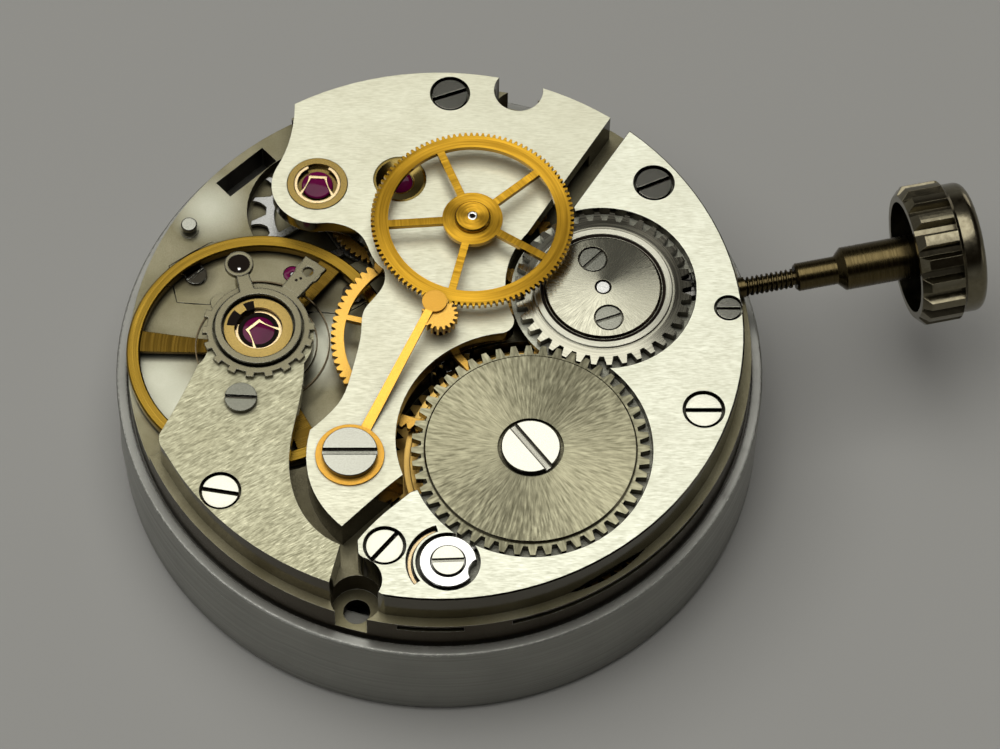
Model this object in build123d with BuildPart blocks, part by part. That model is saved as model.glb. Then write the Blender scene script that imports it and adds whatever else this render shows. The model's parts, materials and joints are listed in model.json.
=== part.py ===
# Hand-wound centre-seconds watch movement, dial side down in its holder ring.
# Millimetres. X runs outwards along the winding stem, Z points up, and the origin
# lies on the centre of the movement, at the foot of the holder ring.
from build123d import *
import math
import os

os.makedirs("parts", exist_ok=True)

# Fits that all the pieces share
running_gap = 0.03
seat_gap = 0.02
overrun = 0.5
edge_break = 0.06

# Holder ring that the movement stands in
holder_height = 4.7
holder_mouth_gap = 0.1
holder_mouth_depth = 0.2
holder_lip_width = 0.4
holder_seat_width = 0.95
holder_foot_width = 1.05
holder_foot_bore_depth = 1.6
holder_foot_round = 0.45

# Main plate and the levels that stand on it
plate_radius = 11.85
plate_field_thickness = 1.2
plate_seat_step = 0.4
bridge_ledge = 0.35
bridge_thickness = 1.5
bridge_slab_thickness = 0.62
cock_slab_thickness = 0.65
holder_mouth_radius = plate_radius + holder_mouth_gap
holder_radius = holder_mouth_radius + holder_lip_width
holder_bore_radius = plate_radius - holder_seat_width
holder_foot_bore_radius = holder_radius - holder_foot_width
dial_level = holder_height - holder_mouth_depth
field_level = dial_level + plate_field_thickness
seat_level = field_level + plate_seat_step
top_level = seat_level + bridge_thickness
bridge_radius = plate_radius - bridge_ledge
slab_level = top_level - bridge_slab_thickness
cock_level = top_level - cock_slab_thickness
stem_level = seat_level + 0.2 * bridge_thickness

# Places of the arbors, as shares of the plate's radius
centre_shares = (0.0, 0.0)
barrel_shares = (0.187, -0.488)
crown_wheel_shares = (0.542, 0.036)
third_shares = (0.178, 0.330)
fourth_shares = (-0.010, 0.571)
escape_shares = (-0.275, 0.609)
pallet_shares = (-0.405, 0.387)
balance_shares = (-0.565, 0.110)
minute_shares = (0.198, 0.042)
setting_wheel_shares = (0.441, 0.038)


def place(shares):
    """Turn a pair of shares of the plate's radius into a place in the plan."""
    return (plate_radius * shares[0], plate_radius * shares[1])


def trace(table_shares):
    """Turn a table of shares into the places of an outline."""
    return [place(pair) for pair in table_shares]


def polar(radius, angle, centre=(0, 0)):
    """Give the place at a radius and an angle in degrees about a centre."""
    turn = math.radians(angle)
    return (centre[0] + radius * math.cos(turn), centre[1] + radius * math.sin(turn))


def span(start, end):
    """Measure the distance between two places."""
    return math.dist(start, end)


def heading(start, end):
    """Give the angle in degrees from one place to another."""
    return math.degrees(math.atan2(end[1] - start[1], end[0] - start[0]))


centre_place = place(centre_shares)
barrel_place = place(barrel_shares)
crown_wheel_place = place(crown_wheel_shares)
third_place = place(third_shares)
fourth_place = place(fourth_shares)
escape_place = place(escape_shares)
pallet_place = place(pallet_shares)
balance_place = place(balance_shares)
minute_place = place(minute_shares)
setting_wheel_place = place(setting_wheel_shares)

# Tooth counts of the trains
barrel_teeth = 60
centre_pinion_teeth = 12
centre_wheel_teeth = 80
third_pinion_teeth = 8
third_wheel_teeth = 60
fourth_pinion_teeth = 10
fourth_wheel_teeth = 70
escape_pinion_teeth = 7
escape_wheel_teeth = 15
driving_wheel_teeth = 108
seconds_pinion_teeth = 18
ratchet_teeth = 48
crown_wheel_teeth = 36
winding_pinion_teeth = 10
clutch_teeth = 10
cannon_teeth = 12
minute_wheel_teeth = 36
minute_pinion_teeth = 12
hour_wheel_teeth = 48
setting_wheel_teeth = 22

# A tooth reaches one module above its pitch circle, and a little more below it
tooth_head_shares = 0.85
tooth_foot_shares = 1.15
tooth_tip_width_shares = 0.16
tooth_root_width_shares = 0.34


def gear_sizes(start, end, teeth, mate_teeth):
    """Give a gear's pitch radius and module from its distance to its mate."""
    module = 2 * span(start, end) / (teeth + mate_teeth)
    return module * teeth / 2, module


def mate_turn(turn, teeth, mate_teeth, course):
    """Give the turn that sets a mate's tooth gap on a gear's tooth, along a course."""
    lead = ((course - turn) * teeth / 360) % 1
    return course + 180 - (0.5 - lead) * 360 / mate_teeth


def toothed_outline(teeth, root_radius, tip_radius, turn):
    """Draw a closed outline of square-shouldered teeth about the origin."""
    corners = []
    step = 360 / teeth
    for tooth in range(teeth):
        middle = turn + tooth * step
        corners.append(polar(root_radius, middle - tooth_root_width_shares * step))
        corners.append(polar(tip_radius, middle - tooth_tip_width_shares * step))
        corners.append(polar(tip_radius, middle + tooth_tip_width_shares * step))
        corners.append(polar(root_radius, middle + tooth_root_width_shares * step))
    Polyline(*corners, close=True)


def fine_outline(teeth, root_radius, tip_radius, turn):
    """Draw a closed outline of fine teeth that meet in sharp gaps."""
    corners = []
    step = 360 / teeth
    for tooth in range(teeth):
        middle = turn + tooth * step
        corners.append(polar(tip_radius, middle - tooth_tip_width_shares * step))
        corners.append(polar(tip_radius, middle + tooth_tip_width_shares * step))
        corners.append(polar(root_radius, middle + step / 2))
    Polyline(*corners, close=True)


def gear_blank(spot, level, thickness, teeth, pitch_radius, module, turn, fine=False):
    """Add a toothed disc to the part being built."""
    root_radius = pitch_radius - tooth_foot_shares * module
    tip_radius = pitch_radius + tooth_head_shares * module
    with BuildSketch(Plane((spot[0], spot[1], level))) as blank:
        with BuildLine():
            if fine:
                fine_outline(teeth, root_radius, tip_radius, turn)
            else:
                toothed_outline(teeth, root_radius, tip_radius, turn)
        make_face()
    extrude(blank.sketch, amount=thickness)


def peg(spot, low, high, radius, mode=Mode.ADD):
    """Add, or take away, an upright cylinder between two levels."""
    with Locations((spot[0], spot[1], low)):
        Cylinder(radius, high - low, align=(Align.CENTER, Align.CENTER, Align.MIN), mode=mode)


def taper(spot, low, high, low_radius, high_radius):
    """Add an upright cone that widens between two levels."""
    with Locations((spot[0], spot[1], low)):
        Cone(low_radius, high_radius, high - low, align=(Align.CENTER, Align.CENTER, Align.MIN))


def spokes(count, inner_radius, outer_radius, hub_width, rim_width, turn):
    """Draw tapered spokes about the origin of the sketch being built."""
    for spoke in range(count):
        angle = turn + spoke * 360 / count
        along = (math.cos(math.radians(angle)), math.sin(math.radians(angle)))
        corners = []
        for radius, side in (
            (inner_radius, hub_width / 2),
            (outer_radius, rim_width / 2),
            (outer_radius, -rim_width / 2),
            (inner_radius, -hub_width / 2),
        ):
            corners.append((radius * along[0] - side * along[1], radius * along[1] + side * along[0]))
        with BuildLine() as spoke_line:
            Polyline(*corners, close=True)
        make_face(spoke_line.edges())


def slotted_screw(spot, seat, head_radius, head_height, shank_radius, shank_length, slot_turn):
    """Add a flat slotted screw whose head sits on the level of its seat."""
    slot_width = head_radius * screw_slot_width_shares
    slot_depth = head_height * screw_slot_depth_shares
    peg(spot, seat, seat + head_height, head_radius)
    peg(spot, seat - shank_length, seat, shank_radius)
    with Locations((spot[0], spot[1], seat + head_height - slot_depth)):
        Box(
            2 * head_radius + overrun,
            slot_width,
            slot_depth + overrun,
            rotation=(0, 0, slot_turn),
            align=(Align.CENTER, Align.CENTER, Align.MIN),
            mode=Mode.SUBTRACT,
        )


def save(piece, name):
    """Label a finished piece and write it to its own file."""
    piece.part.label = name
    export_step(piece.part, f"parts/{name}.step")


# Screws, all slotted
screw_slot_width_shares = 0.24
screw_slot_depth_shares = 0.5
bridge_screw_head_radius = 0.68
bridge_screw_head_height = 0.5
bridge_screw_sink_gap = 0.1
bridge_screw_sink_depth = 0.56
bridge_screw_shank_radius = 0.35
bridge_screw_shank_length = 1.7
train_screw_shares = (0.219, 0.861)
barrel_screw_shares = ((0.793, 0.386), (0.751, -0.466), (-0.330, -0.728))
cock_screw_shares = (-0.791, -0.433)
bridge_screw_turns = (8, 12, -12, 38, -22)
bridge_screw_seat = top_level - bridge_screw_sink_depth
bridge_screw_places = [place(train_screw_shares)]
bridge_screw_places += trace(barrel_screw_shares)
bridge_screw_places.append(place(cock_screw_shares))
bridge_screw_sink_radius = bridge_screw_head_radius + bridge_screw_sink_gap

# Sunk holes that take the screws of the watch case
case_screw_circle_shares = 0.937
case_screw_angles = (61.9, 241.9)
case_screw_sink_radius = 0.95
case_screw_hole_radius = 0.5
case_screw_floor_rise = 0.5
case_screw_places = [polar(plate_radius * case_screw_circle_shares, angle) for angle in case_screw_angles]


def sink_bridge_screw(spot):
    """Take the sink and the clearance hole of a bridge screw out of a bridge."""
    peg(spot, bridge_screw_seat, top_level + overrun, bridge_screw_sink_radius, Mode.SUBTRACT)
    peg(spot, seat_level - overrun, top_level, bridge_screw_shank_radius + seat_gap, Mode.SUBTRACT)


# Mainspring barrel
barrel_recess_floor_rise = 0.7
barrel_recess_gap = 0.12
barrel_ring_rise = 0.1
barrel_ring_thickness = 0.3
barrel_drum_step = 0.441
barrel_drum_height = 1.1
barrel_wall = 0.22
barrel_floor = 0.16
barrel_cover_thickness = 0.16
barrel_pitch_radius, barrel_module = gear_sizes(
    centre_place, barrel_place, barrel_teeth, centre_pinion_teeth
)
barrel_drum_radius = barrel_pitch_radius - barrel_drum_step
barrel_recess_floor = dial_level + barrel_recess_floor_rise
barrel_low = barrel_recess_floor + barrel_ring_rise
barrel_recess_radius = barrel_pitch_radius + barrel_module + barrel_recess_gap
barrel_high = barrel_low + barrel_drum_height + barrel_ring_rise
arbor_core_radius = 1.2
arbor_pivot_radius = 0.6
arbor_upper_radius = 0.9
arbor_square = 1.1

# Ratchet wheel on the barrel arbor
ratchet_recess_depth = 0.42
ratchet_recess_gap = 0.1
ratchet_running_gap = 0.03
ratchet_thickness = 0.33
ratchet_disc_radius = 3.97
ratchet_disc_height = 0.12
ratchet_screw_head_radius = 1.11
ratchet_screw_sink_gap = 0.12
ratchet_screw_sink_depth = 0.2
ratchet_screw_head_height = 0.3
ratchet_screw_shank_radius = 0.36
ratchet_screw_shank_length = 0.55
ratchet_floor_radius = 4.2
ratchet_pitch_radius, winding_module = gear_sizes(
    barrel_place, crown_wheel_place, ratchet_teeth, crown_wheel_teeth
)
ratchet_floor = top_level - ratchet_recess_depth
ratchet_low = ratchet_floor + ratchet_running_gap
ratchet_high = ratchet_low + ratchet_thickness
ratchet_recess_radius = ratchet_pitch_radius + tooth_head_shares * winding_module + ratchet_recess_gap

# Crown wheel and the core that it turns on
crown_wheel_recess_depth = 0.45
crown_wheel_recess_gap = 0.16
crown_wheel_thickness = 0.35
crown_wheel_rise = 0.05
crown_core_radius = 2.21
crown_core_lip = 0.03
crown_core_screw_radius = 0.5
crown_core_screw_sink_gap = 0.05
crown_core_screw_sink_depth = 0.16
crown_core_screw_head_height = 0.13
crown_core_screw_shank_radius = 0.26
crown_core_screw_shank_length = 0.52
crown_core_screw_shares = ((0.533, 0.144), (0.534, -0.078))
crown_core_screw_turns = (33, 8)
crown_core_hole_radius = 0.31
crown_wheel_floor_radius = 3.5
crown_wheel_pitch_radius = winding_module * crown_wheel_teeth / 2
crown_wheel_floor = top_level - crown_wheel_recess_depth
crown_wheel_low = crown_wheel_floor + crown_wheel_rise
crown_wheel_recess_radius = (
    crown_wheel_pitch_radius + tooth_head_shares * winding_module + crown_wheel_recess_gap
)

# Going train: rise of each wheel above the dial plane, and its thickness
centre_wheel_rise = 2.15
centre_wheel_thickness = 0.22
centre_pinion_rise = 0.8
centre_pinion_height = 0.9
third_wheel_rise = 1.75
third_wheel_thickness = 0.15
third_pinion_rise = 1.98
third_pinion_height = 0.45
fourth_wheel_rise = 1.25
fourth_wheel_thickness = 0.15
fourth_pinion_rise = 1.65
fourth_pinion_height = 0.45
escape_wheel_rise = 0.7
escape_wheel_thickness = 0.15
escape_pinion_rise = 1.2
escape_pinion_height = 0.3
driving_wheel_rise = 3.8
driving_wheel_thickness = 0.2
seconds_pinion_rise = 3.7
seconds_pinion_height = 0.4
wheel_recess_gap = 0.12
arbor_radius = 0.16
pivot_radius = 0.08
jewel_radius = 0.34
jewel_thickness = 0.22

centre_pitch_radius, centre_module = gear_sizes(
    centre_place, third_place, centre_wheel_teeth, third_pinion_teeth
)
third_pitch_radius, third_module = gear_sizes(
    third_place, fourth_place, third_wheel_teeth, fourth_pinion_teeth
)
fourth_pitch_radius, fourth_module = gear_sizes(
    fourth_place, escape_place, fourth_wheel_teeth, escape_pinion_teeth
)
driving_pitch_radius, driving_module = gear_sizes(
    centre_place, third_place, driving_wheel_teeth, seconds_pinion_teeth
)
centre_wheel_low = dial_level + centre_wheel_rise
third_wheel_low = dial_level + third_wheel_rise
fourth_wheel_low = dial_level + fourth_wheel_rise
escape_wheel_low = dial_level + escape_wheel_rise
driving_wheel_low = dial_level + driving_wheel_rise
centre_arbor_radius = 0.42
centre_bore_radius = 0.2
seconds_arbor_radius = 0.15
seconds_arbor_drop = 2.3
seconds_seat_radius = 0.13
seconds_seat_length = 0.4
seconds_taper_length = 0.6

# Escapement
escape_tip_radius = 2.65
escape_rim_radius = 2.05
escape_floor_drop = 0.12
pallet_fork_thickness = 0.16
pallet_hub_radius = 0.36
pallet_arm_width = 0.34
pallet_lever_width = 0.26
pallet_spread = 30
stone_length = 0.62
stone_width = 0.26
pallet_bridge_thickness = 0.22
pallet_bridge_screw_radius = 0.42
pallet_bridge_screw_height = 0.12
pallet_bridge_screw_shank_radius = 0.2
pallet_bridge_screw_shank_length = 0.45
pallet_bridge_screw_turn = 30
staff_hole_gap = 0.5
escape_hole_gap = 0.4
jewel_pin_circle = 0.75
jewel_pin_radius = 0.1
fork_slot_gap = 0.03

# Balance
balance_rim_outer = 5.06
balance_rim_width = 0.51
balance_rim_inner = balance_rim_outer - balance_rim_width
balance_rim_height = 0.35
balance_rise = 0.15
balance_arm_rise = 0.1
balance_arm_thickness = 0.15
balance_arm_hub_width = 0.34
balance_arm_rim_width = 0.9
balance_arm_turn = 43
balance_hub_radius = 0.62
balance_well_gap = 0.28
balance_staff_radius = 0.2
balance_pivot_radius = 0.07
roller_radius = 0.95
roller_thickness = 0.12
hairspring_outer_radius = 2.78
hairspring_pitch = 0.47
hairspring_thickness = 0.05
hairspring_height = 0.15
hairspring_quarters = 19
hairspring_drop = 0.4
collet_radius = 0.51

# Shock settings of the balance, upper and lower, and the escape wheel's setting
shock_radius = 1.3
shock_bowl_radius = 0.9
shock_rise = 0.16
shock_bowl_depth = 0.4
shock_jewel_radius = 0.72
shock_jewel_thickness = 0.18
lyre_thickness = 0.05
lyre_wire = 0.11
lower_shock_radius = 1.15
lower_shock_height = 0.55
lower_shock_sink = 0.03
escape_setting_radius = 1.15
escape_setting_bowl_radius = 0.9
escape_setting_height = 0.5
escape_setting_rise = 0.03
escape_setting_bowl_depth = 0.22
escape_jewel_radius = 0.6
escape_jewel_thickness = 0.15

# Regulator and stud carrier, both round the upper shock setting
regulator_inner_radius = 1.72
regulator_outer_radius = 1.94
regulator_tooth_radius = 2.12
regulator_teeth = 11
regulator_tooth_start = 150
regulator_tooth_span = 200
regulator_thickness = 0.16
regulator_arm_width = 0.75
regulator_end_radius = 0.5
regulator_end_shares = (-0.370, 0.282)
regulator_hole_radius = 0.2
carrier_inner_radius = 1.36
carrier_outer_radius = 1.66
carrier_thickness = 0.34
carrier_arm_width = 0.42
carrier_end_radius = 0.47
carrier_end_shares = (-0.582, 0.346)
stud_radius = 0.2

# Winding and setting work along the stem
stem_inner_end = 6.7
stem_square = 0.5
stem_square_end = 8.75
stem_journal_radius = 0.36
stem_bearing_radius = 0.4
stem_groove_place = 10.42
stem_groove_radius = 0.22
stem_groove_width = 0.5
stem_thread_start = 11.9
stem_thread_end = 13.9
stem_thread_root_radius = 0.28
stem_thin_sleeve_radius = 0.54
stem_thin_sleeve_end = 15.5
stem_thick_sleeve_radius = 0.83
stem_thick_sleeve_start = 15.8
clutch_start = 6.9
clutch_length = 1.5
clutch_radius = 0.65
clutch_groove_radius = 0.42
clutch_groove_width = 0.42
clutch_tooth_length = 0.2
winding_pinion_start = 8.95
winding_pinion_length = 0.95
winding_pinion_radius = 0.87
winding_pinion_collar_radius = 0.66
winding_pinion_tooth_length = 0.45
channel_gap = 0.1

# Crown
crown_start = 18.3
crown_radius = 2.7
crown_rib_length = 1.75
crown_length = 2.6
crown_flutes = 18
crown_flute_depth = 0.3
crown_flute_width_shares = 0.5
crown_band_radius = 2.5
crown_cavity_radius = 2.15
crown_cavity_depth = 1.5
crown_round = 0.35
crown_round_angle = 45
crown_chamfer = 0.3
crown_pull_travel = 0.9
gasket_outer_radius = 2.12
gasket_inner_radius = 1.75
gasket_thickness = 0.3
gasket_gap = 0.05

# Motion work under the plate
cannon_rise = 0.22
cannon_tooth_height = 0.26
cannon_tube_radius = 0.62
cannon_tube_drop = 1.9
minute_seat_radius = 0.58
minute_seat_length = 0.7
minute_taper_length = 0.6
minute_wheel_rise = 0.24
minute_wheel_thickness = 0.2
minute_pinion_height = 0.2
minute_post_radius = 0.18
hour_wheel_rise = 0.02
hour_wheel_thickness = 0.16
hour_tube_radius = 0.88
hour_tube_drop = 1.2
setting_wheel_rise = 0.24
setting_wheel_height = 1.06
setting_post_radius = 0.25
motion_pocket_depth = 0.5
motion_pocket_gap = 0.12
cannon_pitch_radius, cannon_module = gear_sizes(
    centre_place, minute_place, cannon_teeth, minute_wheel_teeth
)
minute_pitch_radius = cannon_module * minute_wheel_teeth / 2
hour_pitch_radius, hour_module = gear_sizes(
    centre_place, minute_place, hour_wheel_teeth, minute_pinion_teeth
)
setting_pitch_radius = cannon_module * setting_wheel_teeth / 2
pocket_ceiling = dial_level + motion_pocket_depth

# Keyless work under the plate
lever_shares = (0.917, -0.122)
yoke_shares = (0.641, -0.253)
keyless_rise = 0.12
keyless_thickness = 0.22
lever_width = 0.5
lever_stud_radius = 0.17
lever_screw_head_radius = 0.46
lever_screw_head_height = 0.3
lever_screw_sink_gap = 0.08
lever_screw_sink_depth = 0.34
lever_screw_shank_radius = 0.2
yoke_width = 0.5
yoke_finger_width = 0.26
yoke_post_radius = 0.25
keyless_low = dial_level + keyless_rise
lever_place = place(lever_shares)
yoke_place = place(yoke_shares)
lever_pocket_shares = ((0.848, 0.030), (0.979, 0.030), (0.966, -0.165), (0.861, -0.190))
yoke_pocket_shares = (
    (0.578, 0.034),
    (0.692, 0.034),
    (0.692, -0.085),
    (0.861, -0.085),
    (0.861, -0.230),
    (0.793, -0.430),
    (0.570, -0.330),
)
jumper_screw_shares = (0.775, -0.300)
jumper_screw_radius = 0.4
jumper_screw_height = 0.1
jumper_screw_shank_radius = 0.18
jumper_screw_shank_length = 0.6
jumper_thickness = 0.07
jumper_post_radius = 0.5

# Click, its screw and its spring, beside the ratchet wheel
click_shares = (-0.150, -0.824)
click_radius = 1.06
click_recess_gap = 0.12
click_thickness = 0.45
click_recess_depth = 0.45
click_screw_head_radius = 0.6
click_screw_head_height = 0.16
click_screw_shank_radius = 0.3
click_screw_shank_length = 0.75
click_screw_sink_depth = 0.08
click_beak_reach = 0.22
click_beak_width = 0.3
click_beak_angle = 22
click_bite_angle = 75
click_spring_radius = 1.42
click_spring_wire = 0.12
click_spring_groove_gap = 0.06
click_spring_start = 95
click_spring_end = 205
click_spring_end_angle = 2
click_place = place(click_shares)

# Friction spring that presses on the seconds pinion, and its screw
seconds_spring_shares = (-0.372, -0.396)
seconds_spring_tip_shares = (-0.007, 0.045)
seconds_spring_ring_radius = 1.28
seconds_spring_thickness = 0.09
seconds_spring_tip_radius = 0.47
seconds_spring_root_width = 0.42
seconds_spring_tip_width = 0.3
seconds_spring_screw_radius = 1.03
seconds_spring_screw_height = 0.26
seconds_spring_screw_shank_radius = 0.4
seconds_spring_screw_shank_length = 1.2

# Proud screw that clamps the cock beside the balance
clamp_screw_shares = (-0.667, -0.127)
clamp_screw_head_radius = 0.61
clamp_screw_head_height = 0.22
clamp_screw_shank_radius = 0.26
clamp_screw_shank_length = 0.5

# Outlines of the bridges, as shares of the plate's radius
train_rim_angles = (42.8, 107.2)
train_shoulder_shares = ((-0.287, 0.927), (-0.307, 0.851), (-0.340, 0.774), (-0.389, 0.701))
train_lobe_shares = ((-0.389, 0.701), (-0.421, 0.576), (-0.291, 0.460))
train_neck_shares = ((-0.291, 0.460), (-0.226, 0.438), (-0.175, 0.386), (-0.159, 0.312), (-0.130, 0.249))
train_waist_shares = (
    (-0.130, 0.249),
    (-0.165, 0.165),
    (-0.226, 0.106),
    (-0.246, 0.041),
    (-0.276, -0.037),
    (-0.311, -0.112),
    (-0.359, -0.193),
    (-0.423, -0.247),
    (-0.476, -0.280),
)
train_heel_shares = (
    (-0.476, -0.280),
    (-0.510, -0.393),
    (-0.511, -0.477),
    (-0.490, -0.557),
    (-0.446, -0.635),
)
train_toe_shares = ((-0.446, -0.635), (-0.383, -0.594), (-0.278, -0.527), (-0.224, -0.497))
train_barrel_arc_shares = ((-0.224, -0.497), (-0.107, -0.164), (0.192, -0.062))
train_corner_shares = ((0.192, -0.062), (0.225, -0.048), (0.236, -0.005))
train_crown_arc_shares = ((0.236, -0.005), (0.242, 0.124), (0.350, 0.285))
train_foot_inner_shares = 0.84
train_toe_foot_shares = -0.354
cock_rim_angles = (193.0, 237.4)
cock_heel_shares = ((-0.523, -0.818), (-0.494, -0.757), (-0.464, -0.696))
cock_side_shares = (
    (-0.464, -0.696),
    (-0.519, -0.641),
    (-0.554, -0.571),
    (-0.570, -0.485),
    (-0.554, -0.343),
    (-0.500, -0.200),
    (-0.447, -0.039),
)
cock_top_shares = ((-0.447, -0.039), (-0.418, 0.168), (-0.729, 0.099))
cock_left_shares = ((-0.729, 0.099), (-0.810, -0.024), (-0.941, -0.197))
cock_hub_radius = 1.95
cock_arm_radius = 5.3
barrel_side_shares = (
    (0.517, 0.349),
    (0.542, 0.036),
    (0.187, -0.488),
    (-0.214, -0.562),
    (-0.305, -0.614),
    (-0.368, -0.658),
    (-0.409, -0.692),
    (-0.416, -0.738),
    (-0.397, -0.766),
    (-0.388, -0.803),
    (-0.393, -0.873),
    (-0.366, -0.899),
    (-0.400, -1.020),
    (0.500, -1.100),
    (1.100, -0.500),
    (1.100, 0.300),
    (0.900, 0.738),
)
low_field_angles = (107.2, 191.5)
dial_slot_shares = (-0.478, 0.802)
dial_slot_length = 2.4
dial_slot_width = 0.84
plate_pin_shares = ((-0.701, 0.620), (-0.655, 0.328))
plate_pin_radius = 0.36
plate_pin_rise = 0.05
pallet_cover_shares = (
    (-0.640, 0.560),
    (-0.790, 0.500),
    (-0.790, 0.360),
    (-0.480, 0.270),
    (-0.270, 0.205),
    (-0.165, 0.245),
    (-0.175, 0.335),
    (-0.400, 0.500),
)
pallet_screw_shares = ((-0.712, 0.445), (-0.228, 0.270))
pallet_pocket_radius = 1.9
rim_slot_angles = ((-109.7, -97.7), (-89, -46))
rim_slot_drop = 0.4
rim_slot_height = 0.3
rim_slot_depth = 0.3


# Holder ring
with BuildPart() as holder_ring:
    with BuildSketch(Plane.XZ):
        with BuildLine():
            Polyline(
                (holder_foot_bore_radius, 0),
                (holder_radius, 0),
                (holder_radius, holder_height),
                (holder_mouth_radius, holder_height),
                (holder_mouth_radius, dial_level),
                (holder_bore_radius, dial_level),
                (holder_bore_radius, holder_foot_bore_depth),
                (holder_foot_bore_radius, holder_foot_bore_depth),
                close=True,
            )
        make_face()
    revolve(axis=Axis.Z)
    foot_edges = holder_ring.edges().filter_by(GeomType.CIRCLE).group_by(Axis.Z)[0]
    fillet(foot_edges.sort_by(SortBy.RADIUS)[-1], holder_foot_round)
    lip_edges = holder_ring.edges().filter_by(GeomType.CIRCLE).group_by(Axis.Z)[-1]
    chamfer(lip_edges.sort_by(SortBy.RADIUS)[-1], edge_break)
save(holder_ring, "holder_ring")


# Channel along the stem, shared by the plate and the barrel bridge
def along_stem(start, end, radius, mode=Mode.ADD):
    """Add, or take away, a round bar along the stem's axis."""
    with BuildSketch(Plane(origin=(start, 0, stem_level), x_dir=(0, 1, 0), z_dir=(1, 0, 0))) as section:
        Circle(radius)
    extrude(section.sketch, amount=end - start, mode=mode)


setting_tip_radius = setting_pitch_radius + tooth_head_shares * cannon_module
winding_pinion_end = winding_pinion_start + winding_pinion_length
clutch_travel_room = crown_pull_travel + channel_gap


def cut_stem_channel():
    """Take the room for the clutch, the winding pinion and the stem out of a part."""
    along_stem(
        clutch_start - clutch_travel_room,
        winding_pinion_start,
        clutch_radius + channel_gap,
        Mode.SUBTRACT,
    )
    along_stem(
        winding_pinion_start - seat_gap,
        winding_pinion_end + seat_gap,
        winding_pinion_radius + channel_gap,
        Mode.SUBTRACT,
    )
    along_stem(
        winding_pinion_end,
        plate_radius + overrun,
        stem_bearing_radius + running_gap,
        Mode.SUBTRACT,
    )
    along_stem(
        stem_inner_end - overrun - clutch_travel_room,
        clutch_start,
        stem_journal_radius + running_gap,
        Mode.SUBTRACT,
    )


escape_recess_floor = escape_wheel_low - escape_floor_drop
fourth_recess_floor = fourth_wheel_low - wheel_recess_gap
fourth_tip_radius = fourth_pitch_radius + tooth_head_shares * fourth_module
third_tip_radius = third_pitch_radius + tooth_head_shares * third_module
centre_tip_radius = centre_pitch_radius + tooth_head_shares * centre_module
centre_pinion_pitch = barrel_module * centre_pinion_teeth / 2
centre_pinion_tip = centre_pinion_pitch + tooth_head_shares * barrel_module
hour_tip_radius = hour_pitch_radius + tooth_head_shares * hour_module
minute_tip_radius = minute_pitch_radius + tooth_head_shares * cannon_module
balance_well_radius = balance_rim_outer + balance_well_gap
pallet_bridge_low = field_level - pallet_bridge_thickness
lower_shock_low = dial_level + lower_shock_sink
lower_shock_high = lower_shock_low + lower_shock_height
jewel_fit = jewel_radius + seat_gap


def pocket(low, high, *spots_and_radii):
    """Take round pockets out of the part between two levels."""
    for spot, radius in spots_and_radii:
        peg(spot, low, high, radius, Mode.SUBTRACT)


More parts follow.
